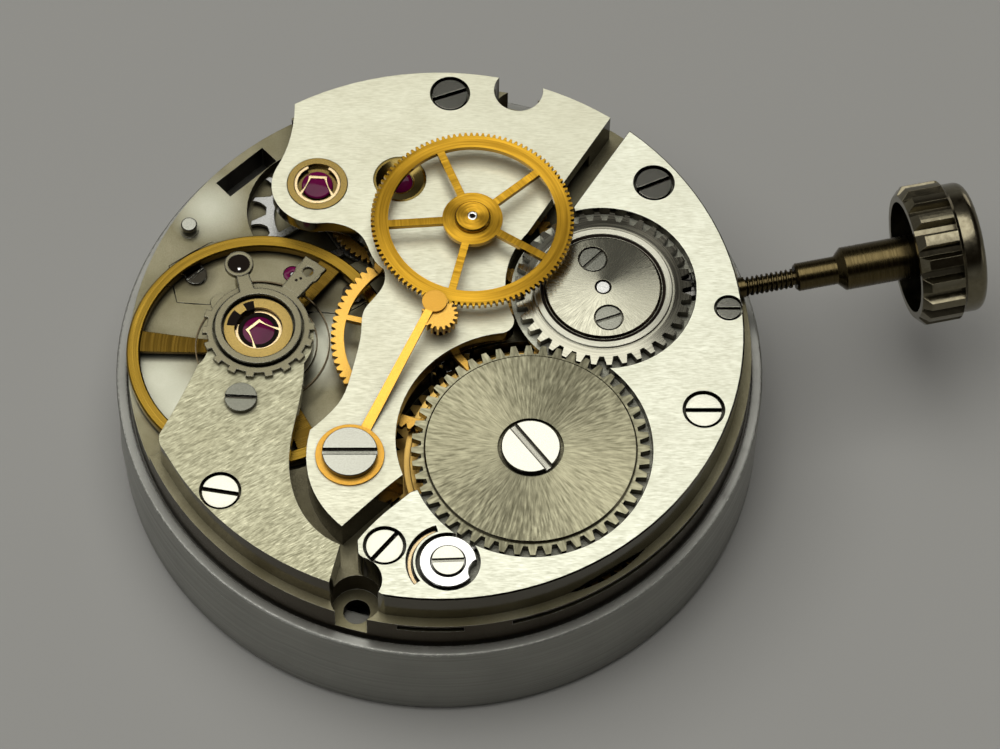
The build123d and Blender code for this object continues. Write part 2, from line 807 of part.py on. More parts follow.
# Main plate
with BuildPart() as main_plate:
    peg(centre_place, dial_level, seat_level, plate_radius)
    with BuildSketch(Plane.XY.offset(field_level)):
        reach = plate_radius + overrun
        with BuildLine():
            field_start = polar(reach, low_field_angles[0])
            field_end = polar(reach, low_field_angles[1])
            ThreePointArc(field_start, polar(reach, sum(low_field_angles) / 2), field_end)
            Line(field_end, centre_place)
            Line(centre_place, field_start)
        make_face()
        with Locations(balance_place):
            Circle(balance_well_radius)
    extrude(amount=seat_level - field_level + overrun, mode=Mode.SUBTRACT)
    pocket(
        barrel_recess_floor,
        seat_level + overrun,
        (barrel_place, barrel_recess_radius),
        (centre_place, centre_pinion_tip + wheel_recess_gap),
    )
    pocket(
        fourth_recess_floor,
        seat_level + overrun,
        (fourth_place, fourth_tip_radius + wheel_recess_gap),
        (third_place, 2 * jewel_radius),
    )
    pocket(
        escape_recess_floor,
        seat_level + overrun,
        (escape_place, escape_tip_radius + wheel_recess_gap),
    )
    pocket(
        escape_recess_floor,
        field_level + overrun,
        (balance_place, roller_radius + channel_gap),
        (pallet_place, pallet_pocket_radius),
    )
    with BuildSketch(Plane.XY.offset(escape_recess_floor)):
        with Locations(
            ((balance_place[0] + pallet_place[0]) / 2, (balance_place[1] + pallet_place[1]) / 2)
        ):
            Rectangle(
                span(pallet_place, balance_place),
                2 * roller_radius,
                rotation=heading(pallet_place, balance_place),
            )
    extrude(amount=field_level - escape_recess_floor + overrun, mode=Mode.SUBTRACT)
    with BuildSketch(Plane.XY.offset(pallet_bridge_low)):
        with BuildLine():
            Polyline(*trace(pallet_cover_shares), close=True)
        make_face()
        offset(amount=seat_gap)
    extrude(amount=seat_level - pallet_bridge_low + overrun, mode=Mode.SUBTRACT)
    cut_stem_channel()
    pocket(
        dial_level - overrun,
        pocket_ceiling,
        (centre_place, hour_tip_radius + motion_pocket_gap),
        (minute_place, minute_tip_radius + motion_pocket_gap),
    )
    pocket(
        dial_level - overrun,
        dial_level + setting_wheel_rise + setting_wheel_height + seat_gap,
        (setting_wheel_place, setting_tip_radius + motion_pocket_gap),
    )
    pocket(dial_level - overrun, seat_level, (centre_place, centre_arbor_radius + running_gap))
    for lower_spot in (third_place, fourth_place, escape_place, pallet_place):
        peg(lower_spot, dial_level - overrun, seat_level, jewel_fit, Mode.SUBTRACT)
    peg(barrel_place, dial_level - overrun, seat_level, arbor_pivot_radius + running_gap, Mode.SUBTRACT)
    peg(balance_place, dial_level - overrun, field_level, lower_shock_radius + seat_gap, Mode.SUBTRACT)
    for keyless_shares in (lever_pocket_shares, yoke_pocket_shares):
        with BuildSketch(Plane.XY.offset(dial_level - overrun)):
            with BuildLine():
                Polyline(*trace(keyless_shares), close=True)
            make_face()
        extrude(amount=pocket_ceiling - dial_level + overrun, mode=Mode.SUBTRACT)
    with BuildSketch(Plane.XY.offset(dial_level)):
        with Locations((stem_groove_place + crown_pull_travel / 2, 0)):
            SlotOverall(crown_pull_travel + 3 * lever_stud_radius, 3 * lever_stud_radius)
        with Locations((clutch_start + clutch_length / 2 - crown_pull_travel / 4, 0)):
            SlotOverall(crown_pull_travel + 2 * yoke_finger_width, 2 * yoke_finger_width)
    extrude(amount=stem_level - dial_level, mode=Mode.SUBTRACT)
    peg(minute_place, pocket_ceiling - motion_pocket_depth, pocket_ceiling, minute_post_radius)
    peg(setting_wheel_place, dial_level, seat_level - 2 * channel_gap, setting_post_radius)
    peg(yoke_place, dial_level, pocket_ceiling, yoke_post_radius)
    for spot in bridge_screw_places:
        drill_low = bridge_screw_seat - bridge_screw_shank_length - seat_gap
        peg(spot, drill_low, seat_level, bridge_screw_shank_radius + seat_gap, Mode.SUBTRACT)
    for spot in case_screw_places:
        case_floor = dial_level + case_screw_floor_rise
        peg(spot, case_floor, seat_level + overrun, case_screw_sink_radius, Mode.SUBTRACT)
        peg(spot, dial_level - overrun, seat_level, case_screw_hole_radius, Mode.SUBTRACT)
    peg(lever_place, dial_level, seat_level, lever_screw_shank_radius + seat_gap, Mode.SUBTRACT)
    jumper_place = place(jumper_screw_shares)
    peg(jumper_place, dial_level + jumper_thickness, pocket_ceiling, jumper_post_radius)
    jumper_hole_radius = jumper_screw_shank_radius + seat_gap
    peg(jumper_place, dial_level, dial_level + jumper_screw_shank_length, jumper_hole_radius, Mode.SUBTRACT)
    for spot in trace(pallet_screw_shares):
        screw_low = pallet_bridge_low - pallet_bridge_screw_shank_length - seat_gap
        hole_radius = pallet_bridge_screw_shank_radius + seat_gap
        peg(spot, screw_low, pallet_bridge_low, hole_radius, Mode.SUBTRACT)
    with BuildSketch(Plane.XY.offset(dial_level - overrun)):
        slot_place = place(dial_slot_shares)
        with Locations(slot_place):
            Rectangle(dial_slot_length, dial_slot_width, rotation=heading((0, 0), slot_place) + 90)
    extrude(amount=seat_level - dial_level + 2 * overrun, mode=Mode.SUBTRACT)
    free_pin_place, bridge_pin_place = trace(plate_pin_shares)
    peg(free_pin_place, field_level, field_level + plate_pin_rise, plate_pin_radius)
    peg(bridge_pin_place, pallet_bridge_low, field_level + plate_pin_rise, plate_pin_radius)
    for slot_angles in rim_slot_angles:
        with BuildSketch(Plane.XY.offset(seat_level - rim_slot_drop)):
            slot_middle = sum(slot_angles) / 2
            with BuildLine():
                slot_outer = [polar(plate_radius + overrun, turn) for turn in slot_angles]
                slot_inner = [polar(plate_radius - rim_slot_depth, turn) for turn in slot_angles]
                ThreePointArc(slot_outer[0], polar(plate_radius + overrun, slot_middle), slot_outer[1])
                ThreePointArc(
                    slot_inner[0],
                    polar(plate_radius - rim_slot_depth, slot_middle),
                    slot_inner[1],
                )
                Line(slot_outer[0], slot_inner[0])
                Line(slot_outer[1], slot_inner[1])
            make_face()
        extrude(amount=rim_slot_height, mode=Mode.SUBTRACT)
save(main_plate, "main_plate")


# Pallet bridge, sunk flush into the plate, with jewel and screw holes
def pallet_outline():
    """Draw the outline of the pallet bridge with rounded corners."""
    with BuildLine() as cover_line:
        Polyline(*trace(pallet_cover_shares), close=True)
    make_face(cover_line.edges())


with BuildPart() as pallet_bridge:
    with BuildSketch(Plane.XY.offset(pallet_bridge_low)):
        pallet_outline()
    extrude(amount=pallet_bridge_thickness)
    pocket(
        pallet_bridge_low - overrun,
        field_level + overrun,
        (pallet_place, jewel_fit),
        (balance_place, balance_staff_radius + staff_hole_gap),
        (escape_place, jewel_radius + escape_hole_gap),
    )
    for spot in trace(pallet_screw_shares):
        hole_radius = pallet_bridge_screw_shank_radius + seat_gap
        peg(spot, pallet_bridge_low - overrun, field_level + overrun, hole_radius, Mode.SUBTRACT)
    pin_fit = plate_pin_radius + seat_gap
    peg(bridge_pin_place, pallet_bridge_low - overrun, field_level + overrun, pin_fit, Mode.SUBTRACT)
save(pallet_bridge, "pallet_bridge")

with BuildPart() as pallet_bridge_screws:
    for spot in trace(pallet_screw_shares):
        slotted_screw(
            spot,
            field_level,
            pallet_bridge_screw_radius,
            pallet_bridge_screw_height,
            pallet_bridge_screw_shank_radius,
            pallet_bridge_screw_shank_length + pallet_bridge_thickness,
            pallet_bridge_screw_turn,
        )
save(pallet_bridge_screws, "pallet_bridge_screws")

# Barrel bridge, which carries the barrel, the ratchet wheel and the crown wheel
centre_room_high = dial_level + centre_wheel_rise + centre_wheel_thickness + 0.5 * wheel_recess_gap
barrel_room_high = barrel_high + 0.5 * wheel_recess_gap
third_room_high = third_wheel_low + third_wheel_thickness + wheel_recess_gap
click_floor = top_level - click_recess_depth
with BuildPart() as barrel_bridge:
    with BuildSketch(Plane.XY.offset(seat_level)):
        with BuildLine():
            Polyline(*trace(barrel_side_shares), close=True)
        make_face()
        with Locations(crown_wheel_place):
            Circle(crown_wheel_floor_radius)
        with Locations(barrel_place):
            Circle(ratchet_floor_radius)
        Circle(bridge_radius, mode=Mode.INTERSECT)
    extrude(amount=top_level - seat_level)
    rim_edge = barrel_bridge.edges().group_by(Axis.Z)[-1].sort_by(Edge.length)[-1]
    chamfer(rim_edge, edge_break)
    pocket(
        ratchet_floor,
        top_level + overrun,
        (barrel_place, ratchet_recess_radius),
    )
    pocket(
        crown_wheel_floor,
        top_level + overrun,
        (crown_wheel_place, crown_wheel_recess_radius),
    )
    pocket(seat_level - overrun, barrel_room_high, (barrel_place, barrel_drum_radius + 2 * wheel_recess_gap))
    pocket(seat_level - overrun, centre_room_high, (centre_place, centre_tip_radius + wheel_recess_gap))
    pocket(seat_level - overrun, third_room_high, (third_place, third_tip_radius + wheel_recess_gap))
    peg(barrel_place, seat_level, top_level, arbor_upper_radius + running_gap, Mode.SUBTRACT)
    cut_stem_channel()
    for spot in bridge_screw_places[1:4]:
        sink_bridge_screw(spot)
    for spot in case_screw_places:
        peg(spot, seat_level - overrun, top_level + overrun, case_screw_sink_radius, Mode.SUBTRACT)
    lever_sink_low = top_level - lever_screw_sink_depth
    lever_sink_radius = lever_screw_head_radius + lever_screw_sink_gap
    peg(lever_place, lever_sink_low, top_level + overrun, lever_sink_radius, Mode.SUBTRACT)
    peg(lever_place, seat_level, top_level, lever_screw_shank_radius + seat_gap, Mode.SUBTRACT)
    for shares in crown_core_screw_shares:
        post_low = crown_wheel_floor - crown_core_screw_shank_length
        post_radius = crown_core_screw_shank_radius + seat_gap
        peg(place(shares), post_low, top_level, post_radius, Mode.SUBTRACT)
    peg(click_place, click_floor, top_level + overrun, click_radius + click_recess_gap, Mode.SUBTRACT)
    click_hole_radius = click_screw_shank_radius + seat_gap
    peg(click_place, click_floor - click_screw_shank_length, top_level, click_hole_radius, Mode.SUBTRACT)
    groove_half = click_spring_wire / 2 + click_spring_groove_gap
    with BuildSketch(Plane.XY.offset(click_floor)):
        with BuildLine():
            groove_outer = click_spring_radius + groove_half
            groove_inner = click_spring_radius - groove_half
            groove_middle = (click_spring_start + click_spring_end) / 2
            outer_ends = [polar(groove_outer, angle, click_place) for angle in
                          (click_spring_start, groove_middle, click_spring_end)]
            inner_ends = [polar(groove_inner, angle, click_place) for angle in
                          (click_spring_end, groove_middle, click_spring_start)]
            ThreePointArc(*outer_ends)
            Line(outer_ends[-1], inner_ends[0])
            ThreePointArc(*inner_ends)
            Line(inner_ends[-1], outer_ends[0])
        make_face()
    extrude(amount=click_recess_depth + overrun, mode=Mode.SUBTRACT)
save(barrel_bridge, "barrel_bridge")


def train_outline():
    """Draw the outline of the train bridge, from its rim round the balance to its toe."""
    with BuildLine() as train_line:
        rim_start = polar(bridge_radius, train_rim_angles[0])
        rim_end = polar(bridge_radius, train_rim_angles[1])
        ThreePointArc(rim_start, polar(bridge_radius, sum(train_rim_angles) / 2), rim_end)
        Line(rim_end, place(train_shoulder_shares[0]))
        Spline(*trace(train_shoulder_shares))
        ThreePointArc(*trace(train_lobe_shares))
        Spline(*trace(train_neck_shares))
        Spline(*trace(train_waist_shares))
        Spline(*trace(train_heel_shares))
        Spline(*trace(train_toe_shares))
        ThreePointArc(*trace(train_barrel_arc_shares))
        ThreePointArc(*trace(train_corner_shares))
        ThreePointArc(*trace(train_crown_arc_shares))
        Line(place(train_crown_arc_shares[-1]), rim_start)
    make_face(train_line.edges())


# Train bridge: a thin slab that stands on a foot along the rim and a foot in its toe
spring_place = place(seconds_spring_shares)
spring_hole_radius = seconds_spring_screw_shank_radius + seat_gap
with BuildPart() as train_bridge:
    with BuildSketch(Plane.XY.offset(slab_level)):
        train_outline()
    extrude(amount=bridge_slab_thickness)
    with BuildSketch(Plane.XY.offset(seat_level)):
        train_outline()
        Circle(plate_radius * train_foot_inner_shares, mode=Mode.SUBTRACT)
    extrude(amount=slab_level - seat_level)
    with BuildSketch(Plane.XY.offset(seat_level)):
        train_outline()
        with Locations((0, plate_radius * train_toe_foot_shares)):
            Rectangle(
                2 * plate_radius,
                plate_radius,
                align=(Align.CENTER, Align.MAX),
                mode=Mode.INTERSECT,
            )
        with Locations(barrel_place):
            Circle(barrel_drum_radius + wheel_recess_gap, mode=Mode.SUBTRACT)
    extrude(amount=slab_level - seat_level)
    sink_bridge_screw(bridge_screw_places[0])
    for spot in case_screw_places:
        peg(spot, seat_level - overrun, top_level + overrun, case_screw_sink_radius, Mode.SUBTRACT)
    pocket(
        slab_level - overrun,
        top_level + overrun,
        (escape_place, escape_setting_radius + seat_gap),
        (third_place, jewel_fit),
        (fourth_place, jewel_fit),
        (centre_place, jewel_fit),
        (spring_place, spring_hole_radius),
    )
    pocket(top_level - jewel_thickness, top_level + overrun, (fourth_place, 3 * jewel_radius))
    spring_drill_low = top_level - seconds_spring_screw_shank_length - seat_gap
    pocket(spring_drill_low, top_level, (spring_place, spring_hole_radius))
save(train_bridge, "train_bridge")


# Balance cock, with its foot on the plate and its arm over the balance wheel
clamp_place = place(clamp_screw_shares)
with BuildPart() as balance_cock:
    with BuildSketch(Plane.XY.offset(seat_level)):
        with BuildLine():
            cock_start = polar(bridge_radius, cock_rim_angles[0])
            cock_end = polar(bridge_radius, cock_rim_angles[1])
            ThreePointArc(cock_start, polar(bridge_radius, sum(cock_rim_angles) / 2), cock_end)
            Line(cock_end, place(cock_heel_shares[0]))
            ThreePointArc(*trace(cock_heel_shares))
            Spline(*trace(cock_side_shares))
            ThreePointArc(*trace(cock_top_shares))
            Spline(*trace(cock_left_shares))
            Line(place(cock_left_shares[-1]), cock_start)
        make_face()
        with Locations(balance_place):
            Circle(cock_hub_radius)
    extrude(amount=top_level - seat_level)
    pocket(seat_level - overrun, cock_level, (balance_place, cock_arm_radius))
    pocket(seat_level - overrun, top_level + overrun, (balance_place, shock_radius + seat_gap))
    peg(clamp_place, cock_level - overrun, top_level, clamp_screw_shank_radius + seat_gap, Mode.SUBTRACT)
    sink_bridge_screw(bridge_screw_places[4])
save(balance_cock, "balance_cock")

# Screws that hold the bridges
with BuildPart() as bridge_screws:
    for spot, slot_turn in zip(bridge_screw_places, bridge_screw_turns):
        slotted_screw(
            spot,
            bridge_screw_seat,
            bridge_screw_head_radius,
            bridge_screw_head_height,
            bridge_screw_shank_radius,
            bridge_screw_shank_length,
            slot_turn,
        )
save(bridge_screws, "bridge_screws")

clamp_screw_turn = -15
with BuildPart() as cock_clamp_screw:
    slotted_screw(
        clamp_place,
        top_level,
        clamp_screw_head_radius,
        clamp_screw_head_height,
        clamp_screw_shank_radius,
        clamp_screw_shank_length,
        clamp_screw_turn,
    )
save(cock_clamp_screw, "cock_clamp_screw")

# The setting lever's screw turns in the bridge and carries the lever at its lower end
lever_screw_seat = top_level - lever_screw_sink_depth
with BuildPart() as setting_lever_screw:
    slotted_screw(
        lever_place,
        lever_screw_seat,
        lever_screw_head_radius,
        lever_screw_head_height,
        lever_screw_shank_radius,
        lever_screw_seat - keyless_low,
        -12,
    )
save(setting_lever_screw, "setting_lever_screw")

# Crown wheel core, with its two screws
crown_core_top = top_level + crown_core_lip
crown_core_screw_seat = crown_core_top - crown_core_screw_sink_depth
with BuildPart() as crown_wheel_core:
    peg(crown_wheel_place, crown_wheel_floor, crown_core_top, crown_core_radius)
    core_edges = crown_wheel_core.edges().group_by(Axis.Z)[-1]
    chamfer(core_edges, edge_break)
    for shares in crown_core_screw_shares:
        screw_sink_radius = crown_core_screw_radius + crown_core_screw_sink_gap
        screw_hole_radius = crown_core_screw_shank_radius + seat_gap
        peg(place(shares), crown_core_screw_seat, top_level + overrun, screw_sink_radius, Mode.SUBTRACT)
        peg(place(shares), crown_wheel_floor, top_level, screw_hole_radius, Mode.SUBTRACT)
    peg(crown_wheel_place, crown_wheel_floor, top_level + overrun, crown_core_hole_radius, Mode.SUBTRACT)
save(crown_wheel_core, "crown_wheel_core")

with BuildPart() as crown_wheel_screws:
    for shares, slot_turn in zip(crown_core_screw_shares, crown_core_screw_turns):
        slotted_screw(
            place(shares),
            crown_core_screw_seat,
            crown_core_screw_radius,
            crown_core_screw_head_height,
            crown_core_screw_shank_radius,
            crown_core_screw_shank_length,
            slot_turn,
        )
save(crown_wheel_screws, "crown_wheel_screws")

# Crown wheel: a toothed ring that turns on the core and drives the ratchet wheel
ratchet_turn = heading(barrel_place, crown_wheel_place)
crown_wheel_turn = mate_turn(
    ratchet_turn, ratchet_teeth, crown_wheel_teeth, heading(barrel_place, crown_wheel_place)
)
with BuildPart() as crown_wheel:
    gear_blank(
        crown_wheel_place,
        crown_wheel_low,
        crown_wheel_thickness,
        crown_wheel_teeth,
        crown_wheel_pitch_radius,
        winding_module,
        crown_wheel_turn,
    )
    crown_bore_radius = crown_core_radius + running_gap
    peg(crown_wheel_place, crown_wheel_floor, top_level, crown_bore_radius, Mode.SUBTRACT)
save(crown_wheel, "crown_wheel")

# Ratchet wheel, with a raised disc, a square hole and a sink for its screw
ratchet_top = ratchet_high + ratchet_disc_height
ratchet_screw_seat = ratchet_top - ratchet_screw_sink_depth
with BuildPart() as ratchet_wheel:
    gear_blank(
        barrel_place,
        ratchet_low,
        ratchet_thickness,
        ratchet_teeth,
        ratchet_pitch_radius,
        winding_module,
        ratchet_turn,
    )
    peg(barrel_place, ratchet_high, ratchet_top, ratchet_disc_radius)
    chamfer(ratchet_wheel.edges().group_by(Axis.Z)[-1], edge_break)
    ratchet_sink_radius = ratchet_screw_head_radius + ratchet_screw_sink_gap
    peg(barrel_place, ratchet_screw_seat, ratchet_top + overrun, ratchet_sink_radius, Mode.SUBTRACT)
    with BuildSketch(Plane.XY.offset(ratchet_low - overrun)):
        with Locations(barrel_place):
            Rectangle(arbor_square + 2 * seat_gap, arbor_square + 2 * seat_gap)
    extrude(amount=ratchet_screw_seat - ratchet_low + overrun, mode=Mode.SUBTRACT)
save(ratchet_wheel, "ratchet_wheel")

ratchet_screw_turn = -65
with BuildPart() as ratchet_screw:
    slotted_screw(
        barrel_place,
        ratchet_screw_seat,
        ratchet_screw_head_radius,
        ratchet_screw_head_height,
        ratchet_screw_shank_radius,
        ratchet_screw_shank_length,
        ratchet_screw_turn,
    )
save(ratchet_screw, "ratchet_screw")

# Barrel arbor, from its lower pivot in the plate to the square under the ratchet screw
core_low = barrel_low + barrel_floor + seat_gap
core_high = barrel_high - barrel_cover_thickness - seat_gap
with BuildPart() as barrel_arbor:
    peg(barrel_place, dial_level + seat_gap, core_low, arbor_pivot_radius)
    peg(barrel_place, core_low, core_high, arbor_core_radius)
    peg(barrel_place, core_high, ratchet_low, arbor_upper_radius)
    with BuildSketch(Plane.XY.offset(ratchet_low)):
        with Locations(barrel_place):
            Rectangle(arbor_square, arbor_square)
    extrude(amount=ratchet_screw_seat - ratchet_low - seat_gap)
    tap_low = ratchet_screw_seat - ratchet_screw_shank_length - seat_gap
    tap_radius = ratchet_screw_shank_radius + seat_gap
    peg(barrel_place, tap_low, ratchet_screw_seat, tap_radius, Mode.SUBTRACT)
save(barrel_arbor, "barrel_arbor")

# Barrel drum with its tooth ring, and the cover that closes it
barrel_turn = heading(barrel_place, centre_place)
cover_low = barrel_high - barrel_cover_thickness
with BuildPart() as barrel_drum:
    gear_blank(
        barrel_place,
        barrel_low,
        barrel_ring_thickness,
        barrel_teeth,
        barrel_pitch_radius,
        barrel_module,
        barrel_turn,
        fine=True,
    )
    peg(barrel_place, barrel_low, barrel_high, barrel_drum_radius)
    drum_inner_radius = barrel_drum_radius - barrel_wall
    peg(barrel_place, barrel_low + barrel_floor, barrel_high + overrun, drum_inner_radius, Mode.SUBTRACT)
    peg(barrel_place, barrel_low - overrun, barrel_high, arbor_pivot_radius + running_gap, Mode.SUBTRACT)
save(barrel_drum, "barrel_drum")

with BuildPart() as barrel_cover:
    peg(barrel_place, cover_low, barrel_high, drum_inner_radius - seat_gap)
    peg(barrel_place, cover_low - overrun, top_level, arbor_upper_radius + running_gap, Mode.SUBTRACT)
save(barrel_cover, "barrel_cover")


def spiral_strip(inner_radius, pitch, quarters, thickness, start_angle):
    """Draw one unbroken flat strip that winds outwards by quarter turns."""
    def along(radius_shift, quarter):
        radius = inner_radius + pitch * quarter / 4 + radius_shift
        return polar(radius, start_angle + 90 * quarter)

    half = thickness / 2
    with BuildLine() as strip_line:
        for quarter in range(quarters):
            ThreePointArc(along(half, quarter), along(half, quarter + 0.5), along(half, quarter + 1))
            ThreePointArc(along(-half, quarter), along(-half, quarter + 0.5), along(-half, quarter + 1))
        Line(along(half, 0), along(-half, 0))
        Line(along(half, quarters), along(-half, quarters))
    make_face(strip_line.edges())


half_turn_points = 60


def least_gap(pitch, quarters, inner_radius, thickness):
    """Measure on points the least gap between neighbouring turns of a spiral."""
    points = [polar(inner_radius + pitch * step / 360, step) for step in range(0, 90 * quarters, 3)]
    nearest = min(
        span(points[first], points[second])
        for first in range(len(points))
        for second in range(first + half_turn_points, len(points))
    )
    return nearest - thickness


# Mainspring, one strip that runs from the arbor to the wall of the drum
mainspring_thickness = 0.12
mainspring_turn_gap = 0.45
mainspring_start = arbor_core_radius + 2 * mainspring_thickness
mainspring_end = drum_inner_radius - mainspring_thickness / 2 - seat_gap
mainspring_pitch = mainspring_thickness + mainspring_turn_gap
mainspring_quarters = int(4 * (mainspring_end - mainspring_start) / mainspring_pitch)
with BuildPart() as mainspring:
    with BuildSketch(Plane((barrel_place[0], barrel_place[1], core_low))):
        spiral_strip(
            mainspring_end - mainspring_pitch * mainspring_quarters / 4,
            mainspring_pitch,
            mainspring_quarters,
            mainspring_thickness,
            0,
        )
    extrude(amount=core_high - core_low)
save(mainspring, "mainspring")
mainspring_gap = least_gap(mainspring_pitch, mainspring_quarters, mainspring_start, mainspring_thickness)
print("mainspring least gap to itself", round(mainspring_gap, 3))

# Click with two beaks towards the ratchet wheel, its screw and its spring
click_low = click_floor + ratchet_running_gap
click_high = click_low + click_thickness
click_course = heading(click_place, barrel_place)
with BuildPart() as click:
    peg(click_place, click_low, click_high, click_radius)
    click_bite = polar(click_radius + click_beak_width, click_course - click_bite_angle, click_place)
    peg(click_bite, click_floor, top_level + overrun, click_radius / 2, Mode.SUBTRACT)
    for side in (-1, 1):
        beak_angle = click_course + side * click_beak_angle
        beak_root = polar(click_radius / 2, beak_angle, click_place)
        beak_length = click_radius / 2 + click_beak_reach
        with BuildSketch(Plane((beak_root[0], beak_root[1], click_low))):
            with BuildLine():
                beak_tip = polar(beak_length, beak_angle)
                Polyline(
                    polar(click_beak_width, beak_angle + 90),
                    beak_tip,
                    polar(click_beak_width, beak_angle - 90),
                    close=True,
                )
            make_face()
        extrude(amount=click_thickness / 2)
    click_bore_radius = click_screw_shank_radius + running_gap
    peg(click_place, click_floor, top_level + overrun, click_bore_radius, Mode.SUBTRACT)
    sink_radius = click_screw_head_radius + running_gap
    click_sink_low = click_high - click_screw_sink_depth
    peg(click_place, click_sink_low, top_level + overrun, sink_radius, Mode.SUBTRACT)
save(click, "click")

click_screw_turn = -10
with BuildPart() as click_screw:
    slotted_screw(
        click_place,
        click_sink_low + seat_gap,
        click_screw_head_radius,
        click_screw_head_height,
        click_screw_shank_radius,
        click_thickness + click_screw_shank_length - click_screw_sink_depth,
        click_screw_turn,
    )
save(click_screw, "click_screw")

with BuildPart() as click_spring:
    with BuildSketch(Plane.XY.offset(click_floor)):
        with BuildLine():
            wire_outer = click_spring_radius + click_spring_wire / 2
            wire_inner = click_spring_radius - click_spring_wire / 2
            wire_start = click_spring_start + click_spring_end_angle
            wire_end = click_spring_end - click_spring_end_angle
            wire_angles = (wire_start, groove_middle, wire_end)
            outer_ends = [polar(wire_outer, angle, click_place) for angle in wire_angles]
            inner_ends = [polar(wire_inner, angle, click_place) for angle in reversed(wire_angles)]
            ThreePointArc(*outer_ends)
            Line(outer_ends[-1], inner_ends[0])
            ThreePointArc(*inner_ends)
            Line(inner_ends[-1], outer_ends[0])
        make_face()
    extrude(amount=click_recess_depth / 2)
save(click_spring, "click_spring")


def wheel(spot, low, thickness, teeth, pitch_radius, module, turn, rim_width, hub_radius, hole_radius, arm):
    """Build a spoked train wheel; arm holds its spoke count, hub width, rim width and turn."""
    gear_blank(spot, low, thickness, teeth, pitch_radius, module, turn, fine=arm[4])
    inner_radius = pitch_radius - rim_width
    with BuildSketch(Plane((spot[0], spot[1], low))) as gaps:
        Circle(inner_radius)
        Circle(hub_radius, mode=Mode.SUBTRACT)
        with BuildSketch(mode=Mode.PRIVATE) as arms:
            spokes(arm[0], hub_radius / 2, inner_radius + rim_width / 2, arm[1], arm[2], arm[3])
        add(arms.sketch, mode=Mode.SUBTRACT)
    extrude(gaps.sketch, amount=thickness, mode=Mode.SUBTRACT)
    peg(spot, low - overrun, low + thickness + overrun, hole_radius, Mode.SUBTRACT)


# Widths shared by the spoked wheels
train_rim_width = 0.42
train_hub_radius = 0.75
train_spokes = 5
train_spoke_hub_width = 0.3
train_spoke_rim_width = 0.22
train_spoke_turn = 10
train_arms = (train_spokes, train_spoke_hub_width, train_spoke_rim_width, train_spoke_turn, True)

# Centre wheel on its hollow arbor
centre_turn = heading(centre_place, third_place)
centre_wheel_high = centre_wheel_low + centre_wheel_thickness
centre_pinion_low = dial_level + centre_pinion_rise
with BuildPart() as center_wheel:
    wheel(
        centre_place,
        centre_wheel_low,
        centre_wheel_thickness,
        centre_wheel_teeth,
        centre_pitch_radius,
        centre_module,
        centre_turn,
        train_rim_width,
        train_hub_radius,
        centre_arbor_radius + seat_gap,
        train_arms,
    )
save(center_wheel, "center_wheel")

cannon_low = dial_level - cannon_tube_drop
centre_pinion_turn = mate_turn(
    barrel_turn, barrel_teeth, centre_pinion_teeth, heading(barrel_place, centre_place)
)
with BuildPart() as center_arbor:
    peg(centre_place, cannon_low + running_gap, centre_wheel_high + running_gap, centre_arbor_radius)
    gear_blank(
        centre_place,
        centre_pinion_low,
        centre_pinion_height,
        centre_pinion_teeth,
        centre_pinion_pitch,
        barrel_module,
        centre_pinion_turn,
    )
    peg(centre_place, dial_level - cannon_tube_drop - overrun, top_level, centre_bore_radius, Mode.SUBTRACT)
save(center_arbor, "center_arbor")

# Third wheel and pinion, whose long arbor carries the seconds driving wheel
third_turn = heading(third_place, fourth_place)
third_pinion_turn = mate_turn(centre_turn, centre_wheel_teeth, third_pinion_teeth, centre_turn)
third_pinion_low = dial_level + third_pinion_rise
third_pinion_pitch = centre_module * third_pinion_teeth / 2
driving_wheel_high = driving_wheel_low + driving_wheel_thickness
with BuildPart() as third_wheel:
    wheel(
        third_place,
        third_wheel_low,
        third_wheel_thickness,
        third_wheel_teeth,
        third_pitch_radius,
        third_module,
        third_turn,
        train_rim_width,
        train_hub_radius,
        arbor_radius + seat_gap,
        train_arms,
    )
save(third_wheel, "third_wheel")

lower_pivot_low = dial_level + seat_gap
lower_arbor_low = dial_level + jewel_thickness + seat_gap
with BuildPart() as third_pinion:
    peg(third_place, lower_pivot_low, lower_arbor_low, pivot_radius)
    peg(third_place, lower_arbor_low, driving_wheel_high, arbor_radius)
    gear_blank(
        third_place,
        third_pinion_low,
        third_pinion_height,
        third_pinion_teeth,
        third_pinion_pitch,
        centre_module,
        third_pinion_turn,
    )
save(third_pinion, "third_pinion")

driving_rim_width = 0.6
driving_hub_radius = 1.15
driving_boss_radius = 0.68
driving_boss_rise = 0.2
driving_spoke_width = 0.3
driving_spoke_turn = 100
driving_turn = heading(third_place, centre_place)
with BuildPart() as seconds_driving_wheel:
    wheel(
        third_place,
        driving_wheel_low,
        driving_wheel_thickness,
        driving_wheel_teeth,
        driving_pitch_radius,
        driving_module,
        driving_turn,
        driving_rim_width,
        driving_hub_radius,
        arbor_radius,
        (train_spokes, driving_spoke_width, driving_spoke_width, driving_spoke_turn, False),
    )
    peg(third_place, driving_wheel_low, driving_wheel_high + driving_boss_rise, driving_boss_radius)
    peg(third_place, driving_wheel_low - overrun, driving_wheel_high, arbor_radius + seat_gap, Mode.SUBTRACT)
    boss_edges = seconds_driving_wheel.edges().group_by(Axis.Z)[-1]
    chamfer(boss_edges, edge_break)
save(seconds_driving_wheel, "seconds_driving_wheel")

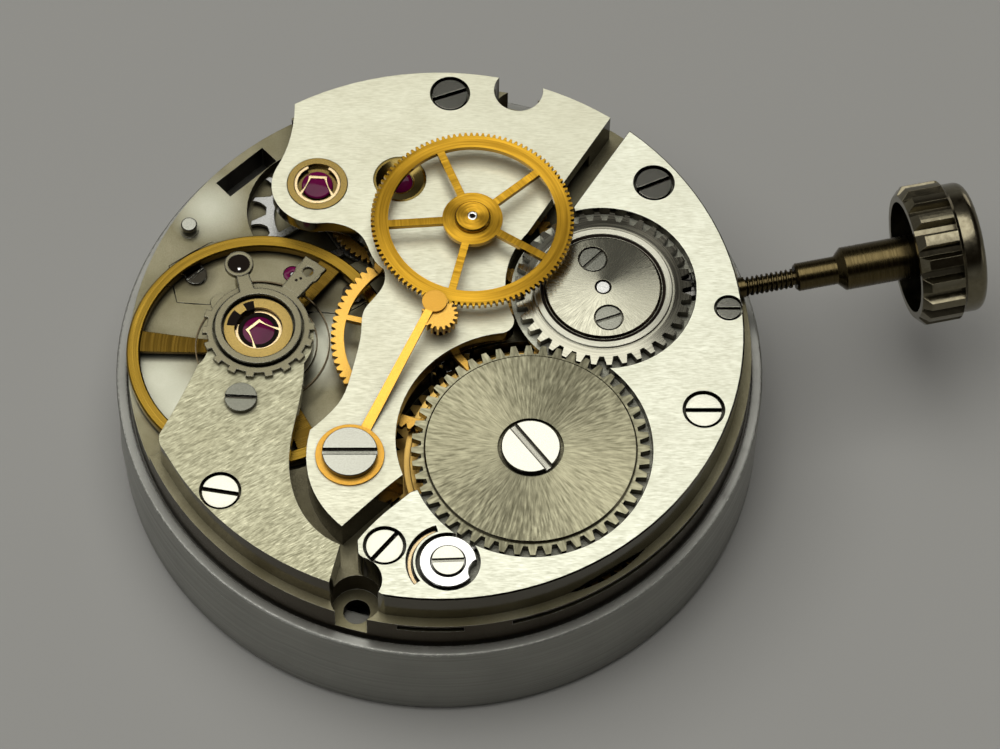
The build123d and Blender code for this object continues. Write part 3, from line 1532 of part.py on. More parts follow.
# Fourth wheel and its pinion
fourth_turn = heading(fourth_place, escape_place)
fourth_pinion_turn = mate_turn(third_turn, third_wheel_teeth, fourth_pinion_teeth, third_turn)
fourth_pinion_low = dial_level + fourth_pinion_rise
upper_jewel_low = top_level - 2 * jewel_thickness
with BuildPart() as fourth_wheel:
    wheel(
        fourth_place,
        fourth_wheel_low,
        fourth_wheel_thickness,
        fourth_wheel_teeth,
        fourth_pitch_radius,
        fourth_module,
        fourth_turn,
        train_rim_width,
        train_hub_radius,
        arbor_radius + seat_gap,
        train_arms,
    )
save(fourth_wheel, "fourth_wheel")

with BuildPart() as fourth_pinion:
    peg(fourth_place, lower_pivot_low, lower_arbor_low, pivot_radius)
    peg(fourth_place, lower_arbor_low, upper_jewel_low - seat_gap, arbor_radius)
    peg(fourth_place, upper_jewel_low - seat_gap, top_level - jewel_thickness - seat_gap, pivot_radius)
    gear_blank(
        fourth_place,
        fourth_pinion_low,
        fourth_pinion_height,
        fourth_pinion_teeth,
        third_module * fourth_pinion_teeth / 2,
        third_module,
        fourth_pinion_turn,
    )
save(fourth_pinion, "fourth_pinion")

# Escape wheel with leaning club teeth, and its pinion
escape_pinion_turn = mate_turn(fourth_turn, fourth_wheel_teeth, escape_pinion_teeth, fourth_turn)
escape_pinion_low = dial_level + escape_pinion_rise
escape_setting_low = top_level + escape_setting_rise - escape_setting_height
escape_bowl_low = top_level + escape_setting_rise - escape_setting_bowl_depth
escape_hub_radius = 0.5
escape_rim_width = 0.32
escape_spokes = 4
escape_spoke_width = 0.26
escape_spoke_turn = 20
escape_tooth_profile_shares = ((0.774, 0.0), (0.985, 0.27), (1.0, 0.42), (0.85, 0.46), (0.774, 0.62))
with BuildPart() as escape_wheel:
    with BuildSketch(Plane((escape_place[0], escape_place[1], escape_wheel_low))):
        with BuildLine():
            escape_step = 360 / escape_wheel_teeth
            escape_points = []
            for tooth in range(escape_wheel_teeth):
                for radius_share, turn_share in escape_tooth_profile_shares:
                    tooth_angle = (tooth + turn_share) * escape_step
                    escape_points.append(polar(escape_tip_radius * radius_share, tooth_angle))
            Polyline(*escape_points, close=True)
        make_face()
        Circle(escape_rim_radius - escape_rim_width, mode=Mode.SUBTRACT)
        Circle(escape_hub_radius)
        spokes(
            escape_spokes,
            escape_hub_radius / 2,
            escape_rim_radius - escape_rim_width / 2,
            escape_spoke_width,
            escape_spoke_width,
            escape_spoke_turn,
        )
        Circle(arbor_radius + seat_gap, mode=Mode.SUBTRACT)
    extrude(amount=escape_wheel_thickness)
save(escape_wheel, "escape_wheel")

with BuildPart() as escape_pinion:
    peg(escape_place, lower_pivot_low, lower_arbor_low, pivot_radius)
    peg(escape_place, lower_arbor_low, escape_setting_low - seat_gap, arbor_radius)
    peg(escape_place, escape_setting_low - seat_gap, escape_bowl_low - seat_gap, pivot_radius)
    gear_blank(
        escape_place,
        escape_pinion_low,
        escape_pinion_height,
        escape_pinion_teeth,
        fourth_module * escape_pinion_teeth / 2,
        fourth_module,
        escape_pinion_turn,
    )
save(escape_pinion, "escape_pinion")

# Pallet fork with its arbor, its two arms and the fork towards the balance
fork_low = escape_wheel_low + seat_gap
fork_high = fork_low + pallet_fork_thickness
fork_course = heading(pallet_place, balance_place)
fork_reach = span(pallet_place, balance_place) - jewel_pin_circle
stone_depth = 0.06
horn_width = 0.66
horn_length = 0.34
escape_course = heading(escape_place, pallet_place)


def bar(start, end, start_width, end_width):
    """Draw a tapered bar between two places in the sketch being built."""
    course = heading(start, end)
    with BuildLine() as bar_line:
        Polyline(
            polar(start_width / 2, course + 90, start),
            polar(end_width / 2, course + 90, end),
            polar(end_width / 2, course - 90, end),
            polar(start_width / 2, course - 90, start),
            close=True,
        )
    make_face(bar_line.edges())


def stone_outline(side, gap):
    """Draw one pallet stone, grown by a gap, in the sketch being built."""
    course = escape_course + side * pallet_spread
    inner = polar(escape_tip_radius - stone_depth - gap, course, escape_place)
    outer = polar(escape_tip_radius - stone_depth + stone_length + gap, course, escape_place)
    bar(inner, outer, stone_width + 2 * gap, stone_width + 2 * gap)


with BuildPart() as pallet_fork:
    with BuildSketch(Plane.XY.offset(fork_low)):
        with Locations(pallet_place):
            Circle(pallet_hub_radius)
        for side in (-1, 1):
            course = escape_course + side * pallet_spread
            stone_middle = polar(escape_tip_radius + stone_length / 2, course, escape_place)
            arm_end = polar(stone_width, heading(pallet_place, stone_middle), stone_middle)
            bar(pallet_place, arm_end, 2 * pallet_hub_radius, pallet_arm_width)
        fork_root = polar(fork_reach - horn_length, fork_course, pallet_place)
        fork_end = polar(fork_reach + jewel_pin_radius, fork_course, pallet_place)
        bar(pallet_place, fork_root, 2 * pallet_lever_width, pallet_lever_width)
        bar(fork_root, fork_end, pallet_lever_width, horn_width)
        for side in (-1, 1):
            with BuildSketch(mode=Mode.PRIVATE) as stone_slot:
                stone_outline(side, seat_gap)
            add(stone_slot.sketch, mode=Mode.SUBTRACT)
        with BuildSketch(mode=Mode.PRIVATE) as fork_slot:
            slot_root = polar(fork_reach - 2 * jewel_pin_radius, fork_course, pallet_place)
            slot_width = 2 * (jewel_pin_radius + fork_slot_gap)
            bar(slot_root, polar(overrun, fork_course, fork_end), slot_width, slot_width)
        add(fork_slot.sketch, mode=Mode.SUBTRACT)
    extrude(amount=pallet_fork_thickness)
    peg(pallet_place, lower_pivot_low, lower_arbor_low, pivot_radius)
    peg(pallet_place, lower_arbor_low, pallet_bridge_low - seat_gap, arbor_radius)
    peg(pallet_place, pallet_bridge_low - seat_gap, field_level - seat_gap, pivot_radius)
save(pallet_fork, "pallet_fork")

with BuildPart() as pallet_jewels:
    with BuildSketch(Plane.XY.offset(fork_low)):
        for side in (-1, 1):
            stone_outline(side, 0)
    extrude(amount=pallet_fork_thickness)
save(pallet_jewels, "pallet_jewels")

# Balance wheel with tapered arms
balance_low = field_level + balance_rise
balance_arm_low = balance_low + balance_arm_rise
with BuildPart() as balance_wheel:
    with BuildSketch(Plane((balance_place[0], balance_place[1], balance_low))):
        Circle(balance_rim_outer)
        Circle(balance_rim_inner, mode=Mode.SUBTRACT)
    extrude(amount=balance_rim_height)
    chamfer(balance_wheel.edges().group_by(Axis.Z)[-1], edge_break)
    with BuildSketch(Plane((balance_place[0], balance_place[1], balance_arm_low))):
        Circle(balance_hub_radius)
        spokes(
            3,
            balance_hub_radius / 2,
            balance_rim_inner + edge_break,
            balance_arm_hub_width,
            balance_arm_rim_width,
            balance_arm_turn,
        )
        Circle(balance_staff_radius + seat_gap, mode=Mode.SUBTRACT)
    extrude(amount=balance_arm_thickness)
save(balance_wheel, "balance_wheel")

# Balance staff with the hairspring's collet, and the roller with its pin
hairspring_low = cock_level - hairspring_drop - hairspring_height
setting_top = top_level + shock_rise
shock_bowl_low = setting_top - shock_bowl_depth
lower_bowl_high = lower_shock_low + shock_jewel_thickness + 2 * lyre_thickness
roller_low = fork_high + 2 * seat_gap
with BuildPart() as balance_staff:
    peg(balance_place, lower_bowl_high + seat_gap, lower_shock_high + seat_gap, balance_pivot_radius)
    peg(balance_place, lower_shock_high + seat_gap, cock_level - seat_gap, balance_staff_radius)
    peg(balance_place, cock_level - seat_gap, shock_bowl_low - seat_gap, balance_pivot_radius)
    peg(balance_place, hairspring_low, hairspring_low + hairspring_height, collet_radius)
save(balance_staff, "balance_staff")

pin_place = polar(jewel_pin_circle, heading(balance_place, pallet_place), balance_place)
with BuildPart() as roller_table:
    peg(balance_place, roller_low, roller_low + roller_thickness, roller_radius)
    peg(pin_place, fork_low, roller_low + roller_thickness / 2, jewel_pin_radius)
    peg(balance_place, dial_level, top_level, balance_staff_radius + seat_gap, Mode.SUBTRACT)
save(roller_table, "roller_table")

# Hairspring, one flat strip from the collet out to the stud
carrier_end = place(carrier_end_shares)
stud_lead = math.degrees(math.asin((stud_radius + seat_gap) / hairspring_outer_radius))
hairspring_end = heading(balance_place, carrier_end) - stud_lead
hairspring_inner = hairspring_outer_radius - hairspring_pitch * hairspring_quarters / 4
with BuildPart() as hairspring:
    with BuildSketch(Plane((balance_place[0], balance_place[1], hairspring_low))):
        spiral_strip(
            hairspring_inner,
            hairspring_pitch,
            hairspring_quarters,
            hairspring_thickness,
            hairspring_end - 90 * hairspring_quarters,
        )
    extrude(amount=hairspring_height)
save(hairspring, "hairspring")
hairspring_gap = least_gap(hairspring_pitch, hairspring_quarters, hairspring_inner, hairspring_thickness)
print("hairspring least gap to itself", round(hairspring_gap, 3))

# Regulator ring with its square teeth, its arm and its curb pins
regulator_low = top_level + seat_gap
regulator_high = regulator_low + regulator_thickness
regulator_end = place(regulator_end_shares)
curb_pin_radius = 0.045
curb_pin_gap = 0.085
curb_pin_inset = hairspring_pitch / 8
with BuildPart() as regulator:
    with BuildSketch(Plane.XY.offset(regulator_low)):
        bar(balance_place, regulator_end, regulator_arm_width, regulator_arm_width)
        with Locations(regulator_end):
            Circle(regulator_end_radius)
        with Locations(balance_place):
            Circle(regulator_outer_radius)
        for tooth in range(regulator_teeth):
            tooth_turn = regulator_tooth_start + regulator_tooth_span * tooth / (regulator_teeth - 1)
            tooth_tip = polar(regulator_tooth_radius, tooth_turn, balance_place)
            tooth_width = regulator_outer_radius * math.radians(regulator_tooth_span / regulator_teeth) / 2
            tooth_foot = polar(regulator_inner_radius, tooth_turn, balance_place)
            bar(tooth_foot, tooth_tip, tooth_width, tooth_width)
        with Locations(balance_place):
            Circle(regulator_inner_radius, mode=Mode.SUBTRACT)
        with Locations(regulator_end):
            Circle(regulator_hole_radius, mode=Mode.SUBTRACT)
    extrude(amount=regulator_thickness)
    curb_course = heading(balance_place, regulator_end)
    for side in (-1, 1):
        pin_circle = hairspring_outer_radius - curb_pin_inset + side * curb_pin_gap
        curb_place = polar(pin_circle, curb_course, balance_place)
        peg(curb_place, hairspring_low, regulator_low, curb_pin_radius)
save(regulator, "regulator")

# Stud carrier: a ring round the shock setting, with an arm over the regulator and the stud
carrier_high = regulator_low + carrier_thickness
carrier_arm_low = regulator_high + seat_gap
with BuildPart() as stud_carrier:
    with BuildSketch(Plane((balance_place[0], balance_place[1], regulator_low))):
        Circle(carrier_outer_radius)
        Circle(carrier_inner_radius, mode=Mode.SUBTRACT)
    extrude(amount=carrier_thickness)
    with BuildSketch(Plane.XY.offset(carrier_arm_low)):
        bar(balance_place, carrier_end, 2 * carrier_arm_width, carrier_arm_width)
        with Locations(carrier_end):
            Circle(carrier_end_radius)
        with Locations(balance_place):
            Circle(carrier_inner_radius, mode=Mode.SUBTRACT)
    extrude(amount=carrier_high - carrier_arm_low)
    peg(carrier_end, hairspring_low, carrier_high, stud_radius)
save(stud_carrier, "stud_carrier")

# Jewel settings: upper and lower shock blocks of the balance, and the escape wheel's setting
pivot_hole_radius = pivot_radius + running_gap
with BuildPart() as jewel_settings:
    peg(balance_place, cock_level, setting_top, shock_radius)
    peg(balance_place, shock_bowl_low, setting_top + overrun, shock_bowl_radius, Mode.SUBTRACT)
    peg(balance_place, lower_shock_low, lower_shock_high, lower_shock_radius)
    peg(balance_place, lower_shock_low - overrun, lower_bowl_high, shock_bowl_radius, Mode.SUBTRACT)
    staff_hole_radius = balance_pivot_radius + running_gap
    peg(balance_place, dial_level, top_level, staff_hole_radius, Mode.SUBTRACT)
    peg(escape_place, escape_setting_low, top_level + escape_setting_rise, escape_setting_radius)
    peg(escape_place, escape_bowl_low, top_level + overrun, escape_setting_bowl_radius, Mode.SUBTRACT)
    peg(escape_place, escape_setting_low, top_level, pivot_hole_radius, Mode.SUBTRACT)
save(jewel_settings, "jewel_settings")

with BuildPart() as cap_jewels:
    peg(balance_place, shock_bowl_low, shock_bowl_low + shock_jewel_thickness, shock_jewel_radius)
    peg(balance_place, lower_bowl_high - shock_jewel_thickness, lower_bowl_high, shock_jewel_radius)
    peg(escape_place, escape_bowl_low, escape_bowl_low + escape_jewel_thickness, escape_jewel_radius)
save(cap_jewels, "cap_jewels")

# Lyre springs that hold the cap jewels down
lyre_radius = shock_bowl_radius - seat_gap
lyre_open_angle = 50
balance_lyre_turn = 120
escape_lyre_turn = 75


def lyre(spot, low, turn):
    """Add one flat lyre spring: an open ring with two inner horns and a tie."""
    with BuildSketch(Plane(origin=(spot[0], spot[1], low), x_dir=(*polar(1, turn), 0))) as lyre_form:
        Circle(lyre_radius)
        Circle(lyre_radius - lyre_wire, mode=Mode.SUBTRACT)
        with BuildSketch(mode=Mode.PRIVATE) as opening:
            bar((0, 0), (2 * lyre_radius, 0), lyre_wire, 2 * lyre_radius)
        add(opening.sketch, mode=Mode.SUBTRACT)
        horn = lyre_radius / 3
        for side in (-1, 1):
            root = polar(lyre_radius - lyre_wire / 2, side * (180 - lyre_open_angle))
            bar(root, (horn, side * horn), lyre_wire, lyre_wire)
        bar((horn, horn + lyre_wire / 2), (horn, -horn - lyre_wire / 2), lyre_wire, lyre_wire)
    extrude(lyre_form.sketch, amount=lyre_thickness)


with BuildPart() as jewel_springs:
    lyre(balance_place, shock_bowl_low + shock_jewel_thickness, balance_lyre_turn)
    lyre(balance_place, lower_shock_low + seat_gap, balance_lyre_turn)
    lyre(escape_place, escape_bowl_low + escape_jewel_thickness, escape_lyre_turn)
save(jewel_springs, "jewel_springs")

# Pierced jewels of the train, in the plate, the train bridge and the pallet bridge
with BuildPart() as train_jewels:
    for spot in (third_place, fourth_place, escape_place, pallet_place):
        peg(spot, dial_level, dial_level + jewel_thickness, jewel_radius)
        peg(spot, dial_level, dial_level + jewel_thickness, pivot_hole_radius, Mode.SUBTRACT)
    peg(pallet_place, pallet_bridge_low, field_level, jewel_radius)
    peg(pallet_place, pallet_bridge_low, field_level, pivot_hole_radius, Mode.SUBTRACT)
    peg(fourth_place, upper_jewel_low, top_level - jewel_thickness, jewel_radius)
    peg(fourth_place, upper_jewel_low, top_level, pivot_hole_radius, Mode.SUBTRACT)
    for spot, hole_radius in (
        (third_place, arbor_radius + running_gap),
        (centre_place, seconds_arbor_radius + running_gap),
    ):
        peg(spot, slab_level, slab_level + jewel_thickness, jewel_radius)
        peg(spot, slab_level, top_level, hole_radius, Mode.SUBTRACT)
save(train_jewels, "train_jewels")

# Seconds pinion, whose thin arbor runs down through the hollow centre arbor
seconds_pinion_low = dial_level + seconds_pinion_rise
seconds_pinion_high = seconds_pinion_low + seconds_pinion_height
seconds_seat_low = dial_level - seconds_arbor_drop
seconds_seat_high = seconds_seat_low + seconds_seat_length
seconds_taper_high = seconds_seat_high + seconds_taper_length
seconds_turn = mate_turn(driving_turn, driving_wheel_teeth, seconds_pinion_teeth, driving_turn)
with BuildPart() as seconds_pinion:
    peg(centre_place, seconds_seat_low, seconds_seat_high, seconds_seat_radius)
    taper(centre_place, seconds_seat_high, seconds_taper_high, seconds_seat_radius, seconds_arbor_radius)
    peg(centre_place, seconds_taper_high, seconds_pinion_high, seconds_arbor_radius)
    gear_blank(
        centre_place,
        seconds_pinion_low,
        seconds_pinion_height,
        seconds_pinion_teeth,
        driving_module * seconds_pinion_teeth / 2,
        driving_module,
        seconds_turn,
    )
save(seconds_pinion, "seconds_pinion")

# Friction spring: a flat ring under its screw, and an arm that climbs to the seconds pinion
tip_place = place(seconds_spring_tip_shares)
spring_length = span(spring_place, tip_place)
spring_course = heading(spring_place, tip_place)
tip_low = seconds_pinion_high + seat_gap
with BuildPart() as seconds_spring:
    with BuildSketch(Plane.XY.offset(top_level)):
        bar(spring_place, tip_place, seconds_spring_root_width, seconds_spring_tip_width)
        with Locations(spring_place):
            Circle(seconds_spring_ring_radius)
        with Locations(tip_place):
            Circle(seconds_spring_tip_radius)
    extrude(amount=tip_low + seconds_spring_thickness - top_level)
    side_plane = Plane(
        origin=(spring_place[0], spring_place[1], top_level),
        x_dir=(*polar(1, spring_course), 0),
        z_dir=(*polar(1, spring_course - 90), 0),
    )
    with BuildSketch(side_plane):
        with BuildLine():
            climb_start = seconds_spring_ring_radius
            climb_end = spring_length - seconds_spring_tip_radius
            climb = tip_low - top_level
            spring_back = -seconds_spring_ring_radius - overrun
            spring_front = spring_length + seconds_spring_tip_radius + overrun
            Polyline(
                (spring_back, 0),
                (climb_start, 0),
                (climb_end, climb),
                (spring_front, climb),
                (spring_front, climb + seconds_spring_thickness),
                (climb_end, climb + seconds_spring_thickness),
                (climb_start, seconds_spring_thickness),
                (spring_back, seconds_spring_thickness),
                close=True,
            )
        make_face()
    extrude(amount=2 * seconds_spring_ring_radius, both=True, mode=Mode.INTERSECT)
    peg(spring_place, slab_level, top_level + overrun, spring_hole_radius, Mode.SUBTRACT)
save(seconds_spring, "seconds_spring")

seconds_spring_screw_turn = -12
with BuildPart() as seconds_spring_screw:
    slotted_screw(
        spring_place,
        top_level + seconds_spring_thickness,
        seconds_spring_screw_radius,
        seconds_spring_screw_height,
        seconds_spring_screw_shank_radius,
        seconds_spring_screw_shank_length,
        seconds_spring_screw_turn,
    )
save(seconds_spring_screw, "seconds_spring_screw")

# Motion work: cannon pinion, minute wheel, hour wheel and setting wheel
cannon_turn = heading(centre_place, minute_place)
minute_turn = mate_turn(cannon_turn, cannon_teeth, minute_wheel_teeth, cannon_turn)
cannon_tooth_low = dial_level + cannon_rise
minute_seat_high = cannon_low + minute_seat_length
minute_taper_high = minute_seat_high + minute_taper_length
with BuildPart() as cannon_pinion:
    peg(centre_place, cannon_low, minute_seat_high, minute_seat_radius)
    taper(centre_place, minute_seat_high, minute_taper_high, minute_seat_radius, cannon_tube_radius)
    peg(centre_place, minute_taper_high, cannon_tooth_low, cannon_tube_radius)
    gear_blank(
        centre_place,
        cannon_tooth_low,
        cannon_tooth_height,
        cannon_teeth,
        cannon_pitch_radius,
        cannon_module,
        cannon_turn,
    )
    cannon_bore_radius = centre_arbor_radius + running_gap
    peg(centre_place, cannon_low - overrun, pocket_ceiling, cannon_bore_radius, Mode.SUBTRACT)
save(cannon_pinion, "cannon_pinion")

minute_wheel_low = dial_level + minute_wheel_rise
minute_bore_radius = minute_post_radius + running_gap
with BuildPart() as minute_wheel:
    gear_blank(
        minute_place,
        minute_wheel_low,
        minute_wheel_thickness,
        minute_wheel_teeth,
        minute_pitch_radius,
        cannon_module,
        minute_turn,
        fine=True,
    )
    gear_blank(
        minute_place,
        minute_wheel_low - minute_pinion_height,
        minute_pinion_height,
        minute_pinion_teeth,
        hour_module * minute_pinion_teeth / 2,
        hour_module,
        heading(minute_place, centre_place),
    )
    peg(minute_place, dial_level, pocket_ceiling, minute_bore_radius, Mode.SUBTRACT)
save(minute_wheel, "minute_wheel")

hour_wheel_low = dial_level + hour_wheel_rise
hour_turn = mate_turn(
    heading(minute_place, centre_place),
    minute_pinion_teeth,
    hour_wheel_teeth,
    heading(minute_place, centre_place),
)
with BuildPart() as hour_wheel:
    gear_blank(
        centre_place,
        hour_wheel_low,
        hour_wheel_thickness,
        hour_wheel_teeth,
        hour_pitch_radius,
        hour_module,
        hour_turn,
        fine=True,
    )
    peg(centre_place, dial_level - hour_tube_drop, hour_wheel_low, hour_tube_radius)
    hour_bore_radius = cannon_tube_radius + running_gap
    peg(centre_place, cannon_low - overrun, pocket_ceiling, hour_bore_radius, Mode.SUBTRACT)
save(hour_wheel, "hour_wheel")

setting_course = heading(minute_place, setting_wheel_place)
setting_turn = mate_turn(minute_turn, minute_wheel_teeth, setting_wheel_teeth, setting_course)
with BuildPart() as setting_wheel:
    gear_blank(
        setting_wheel_place,
        dial_level + setting_wheel_rise,
        setting_wheel_height,
        setting_wheel_teeth,
        setting_pitch_radius,
        cannon_module,
        setting_turn,
    )
    peg(setting_wheel_place, dial_level, seat_level, setting_post_radius + running_gap, Mode.SUBTRACT)
save(setting_wheel, "setting_wheel")


def stem_section(start):
    """Give the plane across the stem at a distance from the centre of the movement."""
    return Plane(origin=(start, 0, stem_level), x_dir=(0, 1, 0), z_dir=(1, 0, 0))


# Winding stem, from its pilot and square to the sleeves that enter the crown
stem_pilot_length = 0.8
crown_floor_place = crown_start + crown_cavity_depth
thin_sleeve_chamfer = 0.08
stem_ledge = stem_groove_place - stem_groove_width / 2
with BuildPart() as winding_stem:
    with BuildSketch(Plane((0, 0, stem_level), x_dir=(1, 0, 0), z_dir=(0, -1, 0))):
        with BuildLine():
            Polyline(
                (stem_square_end, 0),
                (stem_square_end, stem_journal_radius),
                (winding_pinion_end + seat_gap, stem_journal_radius),
                (winding_pinion_end + seat_gap, stem_bearing_radius),
                (stem_ledge, stem_bearing_radius),
                (stem_ledge, stem_groove_radius),
                (stem_ledge + stem_groove_width, stem_groove_radius),
                (stem_ledge + stem_groove_width, stem_bearing_radius),
                (stem_thread_start, stem_bearing_radius),
                (stem_thread_start, stem_thread_root_radius),
                (stem_thread_end, stem_thread_root_radius),
                (stem_thread_end, stem_thin_sleeve_radius - thin_sleeve_chamfer),
                (stem_thread_end + thin_sleeve_chamfer, stem_thin_sleeve_radius),
                (stem_thin_sleeve_end, stem_thin_sleeve_radius),
                (stem_thick_sleeve_start, stem_thick_sleeve_radius),
                (crown_floor_place, stem_thick_sleeve_radius),
                (crown_floor_place, 0),
                close=True,
            )
        make_face()
    revolve(axis=Axis((0, 0, stem_level), (1, 0, 0)))
    with BuildSketch(stem_section(stem_inner_end)):
        Rectangle(stem_square, stem_square)
    extrude(amount=stem_square_end - stem_inner_end)
    along_stem(stem_inner_end - stem_pilot_length, stem_inner_end, stem_square / 2)
save(winding_stem, "winding_stem")

# Sliding pinion on the stem's square, grooved for the yoke
with BuildPart() as sliding_pinion:
    with BuildSketch(stem_section(clutch_start)):
        with BuildLine():
            toothed_outline(clutch_teeth, clutch_radius - clutch_tooth_length, clutch_radius, 0)
        make_face()
    extrude(amount=clutch_length)
    groove_start = clutch_start + (clutch_length - clutch_groove_width) / 2
    with BuildSketch(stem_section(groove_start)):
        Circle(2 * clutch_radius)
        Circle(clutch_groove_radius, mode=Mode.SUBTRACT)
    extrude(amount=clutch_groove_width, mode=Mode.SUBTRACT)
    with BuildSketch(stem_section(clutch_start)):
        Rectangle(stem_square + 2 * running_gap, stem_square + 2 * running_gap)
    extrude(amount=clutch_length, mode=Mode.SUBTRACT)
save(sliding_pinion, "sliding_pinion")

# Winding pinion, which meets the crown wheel from below; one of its teeth stands in a gap of that wheel
collar_length = winding_pinion_length - winding_pinion_tooth_length
mesh_place = (winding_pinion_start + collar_length, 0)
crown_wheel_step = 360 / crown_wheel_teeth
mesh_share = (heading(crown_wheel_place, mesh_place) - crown_wheel_turn) / crown_wheel_step % 1
winding_pinion_turn = 90 - (0.5 - mesh_share) * 360 / winding_pinion_teeth
with BuildPart() as winding_pinion:
    along_stem(winding_pinion_start, winding_pinion_start + collar_length, winding_pinion_collar_radius)
    with BuildSketch(stem_section(winding_pinion_start + collar_length)):
        with BuildLine():
            toothed_outline(
                winding_pinion_teeth,
                winding_pinion_collar_radius,
                winding_pinion_radius,
                winding_pinion_turn,
            )
        make_face()
    extrude(amount=winding_pinion_tooth_length)
    along_stem(winding_pinion_start, winding_pinion_end, stem_journal_radius + running_gap, Mode.SUBTRACT)
save(winding_pinion, "winding_pinion")

# Crown with straight flutes between its front bevel and its smooth outer band
crown_band_start = crown_start + crown_rib_length
with BuildPart() as crown:
    with BuildSketch(Plane((0, 0, stem_level), x_dir=(1, 0, 0), z_dir=(0, -1, 0))):
        with BuildLine():
            rounded = crown_round * math.cos(math.radians(crown_round_angle))
            Polyline(
                (crown_start + crown_length, 0),
                (crown_floor_place, 0),
                (crown_floor_place, crown_cavity_radius),
                (crown_start, crown_cavity_radius),
                (crown_start, crown_radius - crown_chamfer),
                (crown_start + crown_chamfer, crown_radius),
                (crown_band_start - crown_chamfer / 2, crown_radius),
                (crown_band_start, crown_band_radius),
                (crown_start + crown_length - crown_round, crown_band_radius),
            )
            ThreePointArc(
                (crown_start + crown_length - crown_round, crown_band_radius),
                (
                    crown_start + crown_length - crown_round + rounded,
                    crown_band_radius - crown_round + rounded,
                ),
                (crown_start + crown_length, crown_band_radius - crown_round),
            )
            Line(
                (crown_start + crown_length, crown_band_radius - crown_round),
                (crown_start + crown_length, 0),
            )
        make_face()
    revolve(axis=Axis((0, 0, stem_level), (1, 0, 0)))
    with BuildSketch(stem_section(crown_start - overrun)) as flutes:
        groove_floor = crown_radius - crown_flute_depth
        groove_half_angle = 180 / crown_flutes * crown_flute_width_shares
        for flute in range(crown_flutes):
            flute_turn = flute * 360 / crown_flutes
            with BuildLine():
                Polyline(
                    polar(groove_floor, flute_turn - groove_half_angle / 2),
                    polar(crown_radius + overrun, flute_turn - 2 * groove_half_angle),
                    polar(crown_radius + overrun, flute_turn + 2 * groove_half_angle),
                    polar(groove_floor, flute_turn + groove_half_angle / 2),
                    close=True,
                )
            make_face()
    extrude(amount=crown_rib_length + overrun - crown_chamfer / 2, mode=Mode.SUBTRACT)
save(crown, "crown")

gasket_end = crown_floor_place - gasket_gap
with BuildPart() as crown_gasket:
    with BuildSketch(stem_section(gasket_end - gasket_thickness)):
        Circle(gasket_outer_radius)
        Circle(gasket_inner_radius, mode=Mode.SUBTRACT)
    extrude(amount=gasket_thickness)
save(crown_gasket, "crown_gasket")

# Setting lever, whose stud rides in the stem's groove
keyless_high = keyless_low + keyless_thickness
stud_place = (stem_groove_place, 0)
with BuildPart() as setting_lever:
    with BuildSketch(Plane.XY.offset(keyless_low)):
        bar(lever_place, stud_place, lever_width, lever_width)
        with Locations(lever_place):
            Circle(lever_width)
        with Locations(stud_place):
            Circle(lever_width / 2)
        with Locations(lever_place):
            Circle(lever_screw_shank_radius + running_gap, mode=Mode.SUBTRACT)
    extrude(amount=keyless_thickness)
    stud_high = stem_level - stem_groove_radius - running_gap
    peg(stud_place, keyless_high, stud_high, lever_stud_radius)
save(setting_lever, "setting_lever")

# Yoke, whose finger rides in the sliding pinion's groove
finger_place = (clutch_start + clutch_length / 2, 0)
with BuildPart() as yoke:
    with BuildSketch(Plane.XY.offset(keyless_low)):
        bar(yoke_place, finger_place, yoke_width, yoke_width)
        with Locations(yoke_place):
            Circle(yoke_width)
        with Locations(finger_place):
            Circle(yoke_width / 2)
        with Locations(yoke_place):
            Circle(yoke_post_radius + running_gap, mode=Mode.SUBTRACT)
    extrude(amount=keyless_thickness)
    finger_high = stem_level - clutch_groove_radius - running_gap
    with BuildSketch(Plane.XY.offset(keyless_high)):
        with Locations(finger_place):
            Rectangle(yoke_finger_width, yoke_finger_width)
    extrude(amount=finger_high - keyless_high)
save(yoke, "yoke")

# Setting jumper: a thin blade with a foot on its post and an arm to the setting lever
jumper_foot_radius = 0.62
jumper_tip_shares = (0.880, -0.055)
jumper_tip_width = 0.3
with BuildPart() as setting_jumper:
    with BuildSketch(Plane.XY.offset(dial_level)):
        with Locations(jumper_place):
            Circle(jumper_foot_radius)
        bar(jumper_place, place(jumper_tip_shares), jumper_foot_radius, jumper_tip_width)
        with Locations(jumper_place):
            Circle(jumper_screw_shank_radius + seat_gap, mode=Mode.SUBTRACT)
    extrude(amount=jumper_thickness)
save(setting_jumper, "setting_jumper")

with BuildPart() as setting_jumper_screw:
    peg(jumper_place, dial_level - jumper_screw_height, dial_level, jumper_screw_radius)
    jumper_screw_high = dial_level + jumper_screw_shank_length - seat_gap
    peg(jumper_place, dial_level, jumper_screw_high, jumper_screw_shank_radius)
    with Locations((jumper_place[0], jumper_place[1], dial_level - jumper_screw_height)):
        Box(
            2 * jumper_screw_radius + overrun,
            jumper_screw_radius * screw_slot_width_shares,
            jumper_screw_height,
            mode=Mode.SUBTRACT,
        )
save(setting_jumper_screw, "setting_jumper_screw")

# Yoke spring: a curved wire strip beside the yoke
yoke_spring_wire = 0.12
yoke_spring_shares = ((0.745, -0.385), (0.700, -0.255), (0.672, -0.140))
with BuildPart() as yoke_spring:
    with BuildSketch(Plane.XY.offset(keyless_low)):
        spring_points = trace(yoke_spring_shares)
        with BuildLine():
            ThreePointArc(*spring_points)
            far_points = [(spot[0] + yoke_spring_wire, spot[1]) for spot in spring_points]
            ThreePointArc(*far_points)
            Line(spring_points[0], far_points[0])
            Line(spring_points[-1], far_points[-1])
        make_face()
    extrude(amount=pocket_ceiling - keyless_low)
save(yoke_spring, "yoke_spring")
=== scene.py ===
"""Looks of a hand-wound watch movement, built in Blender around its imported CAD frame.

Lengths in this file are in millimetres unless a name ends in _m. The scene itself is in metres.
"""

from __future__ import annotations

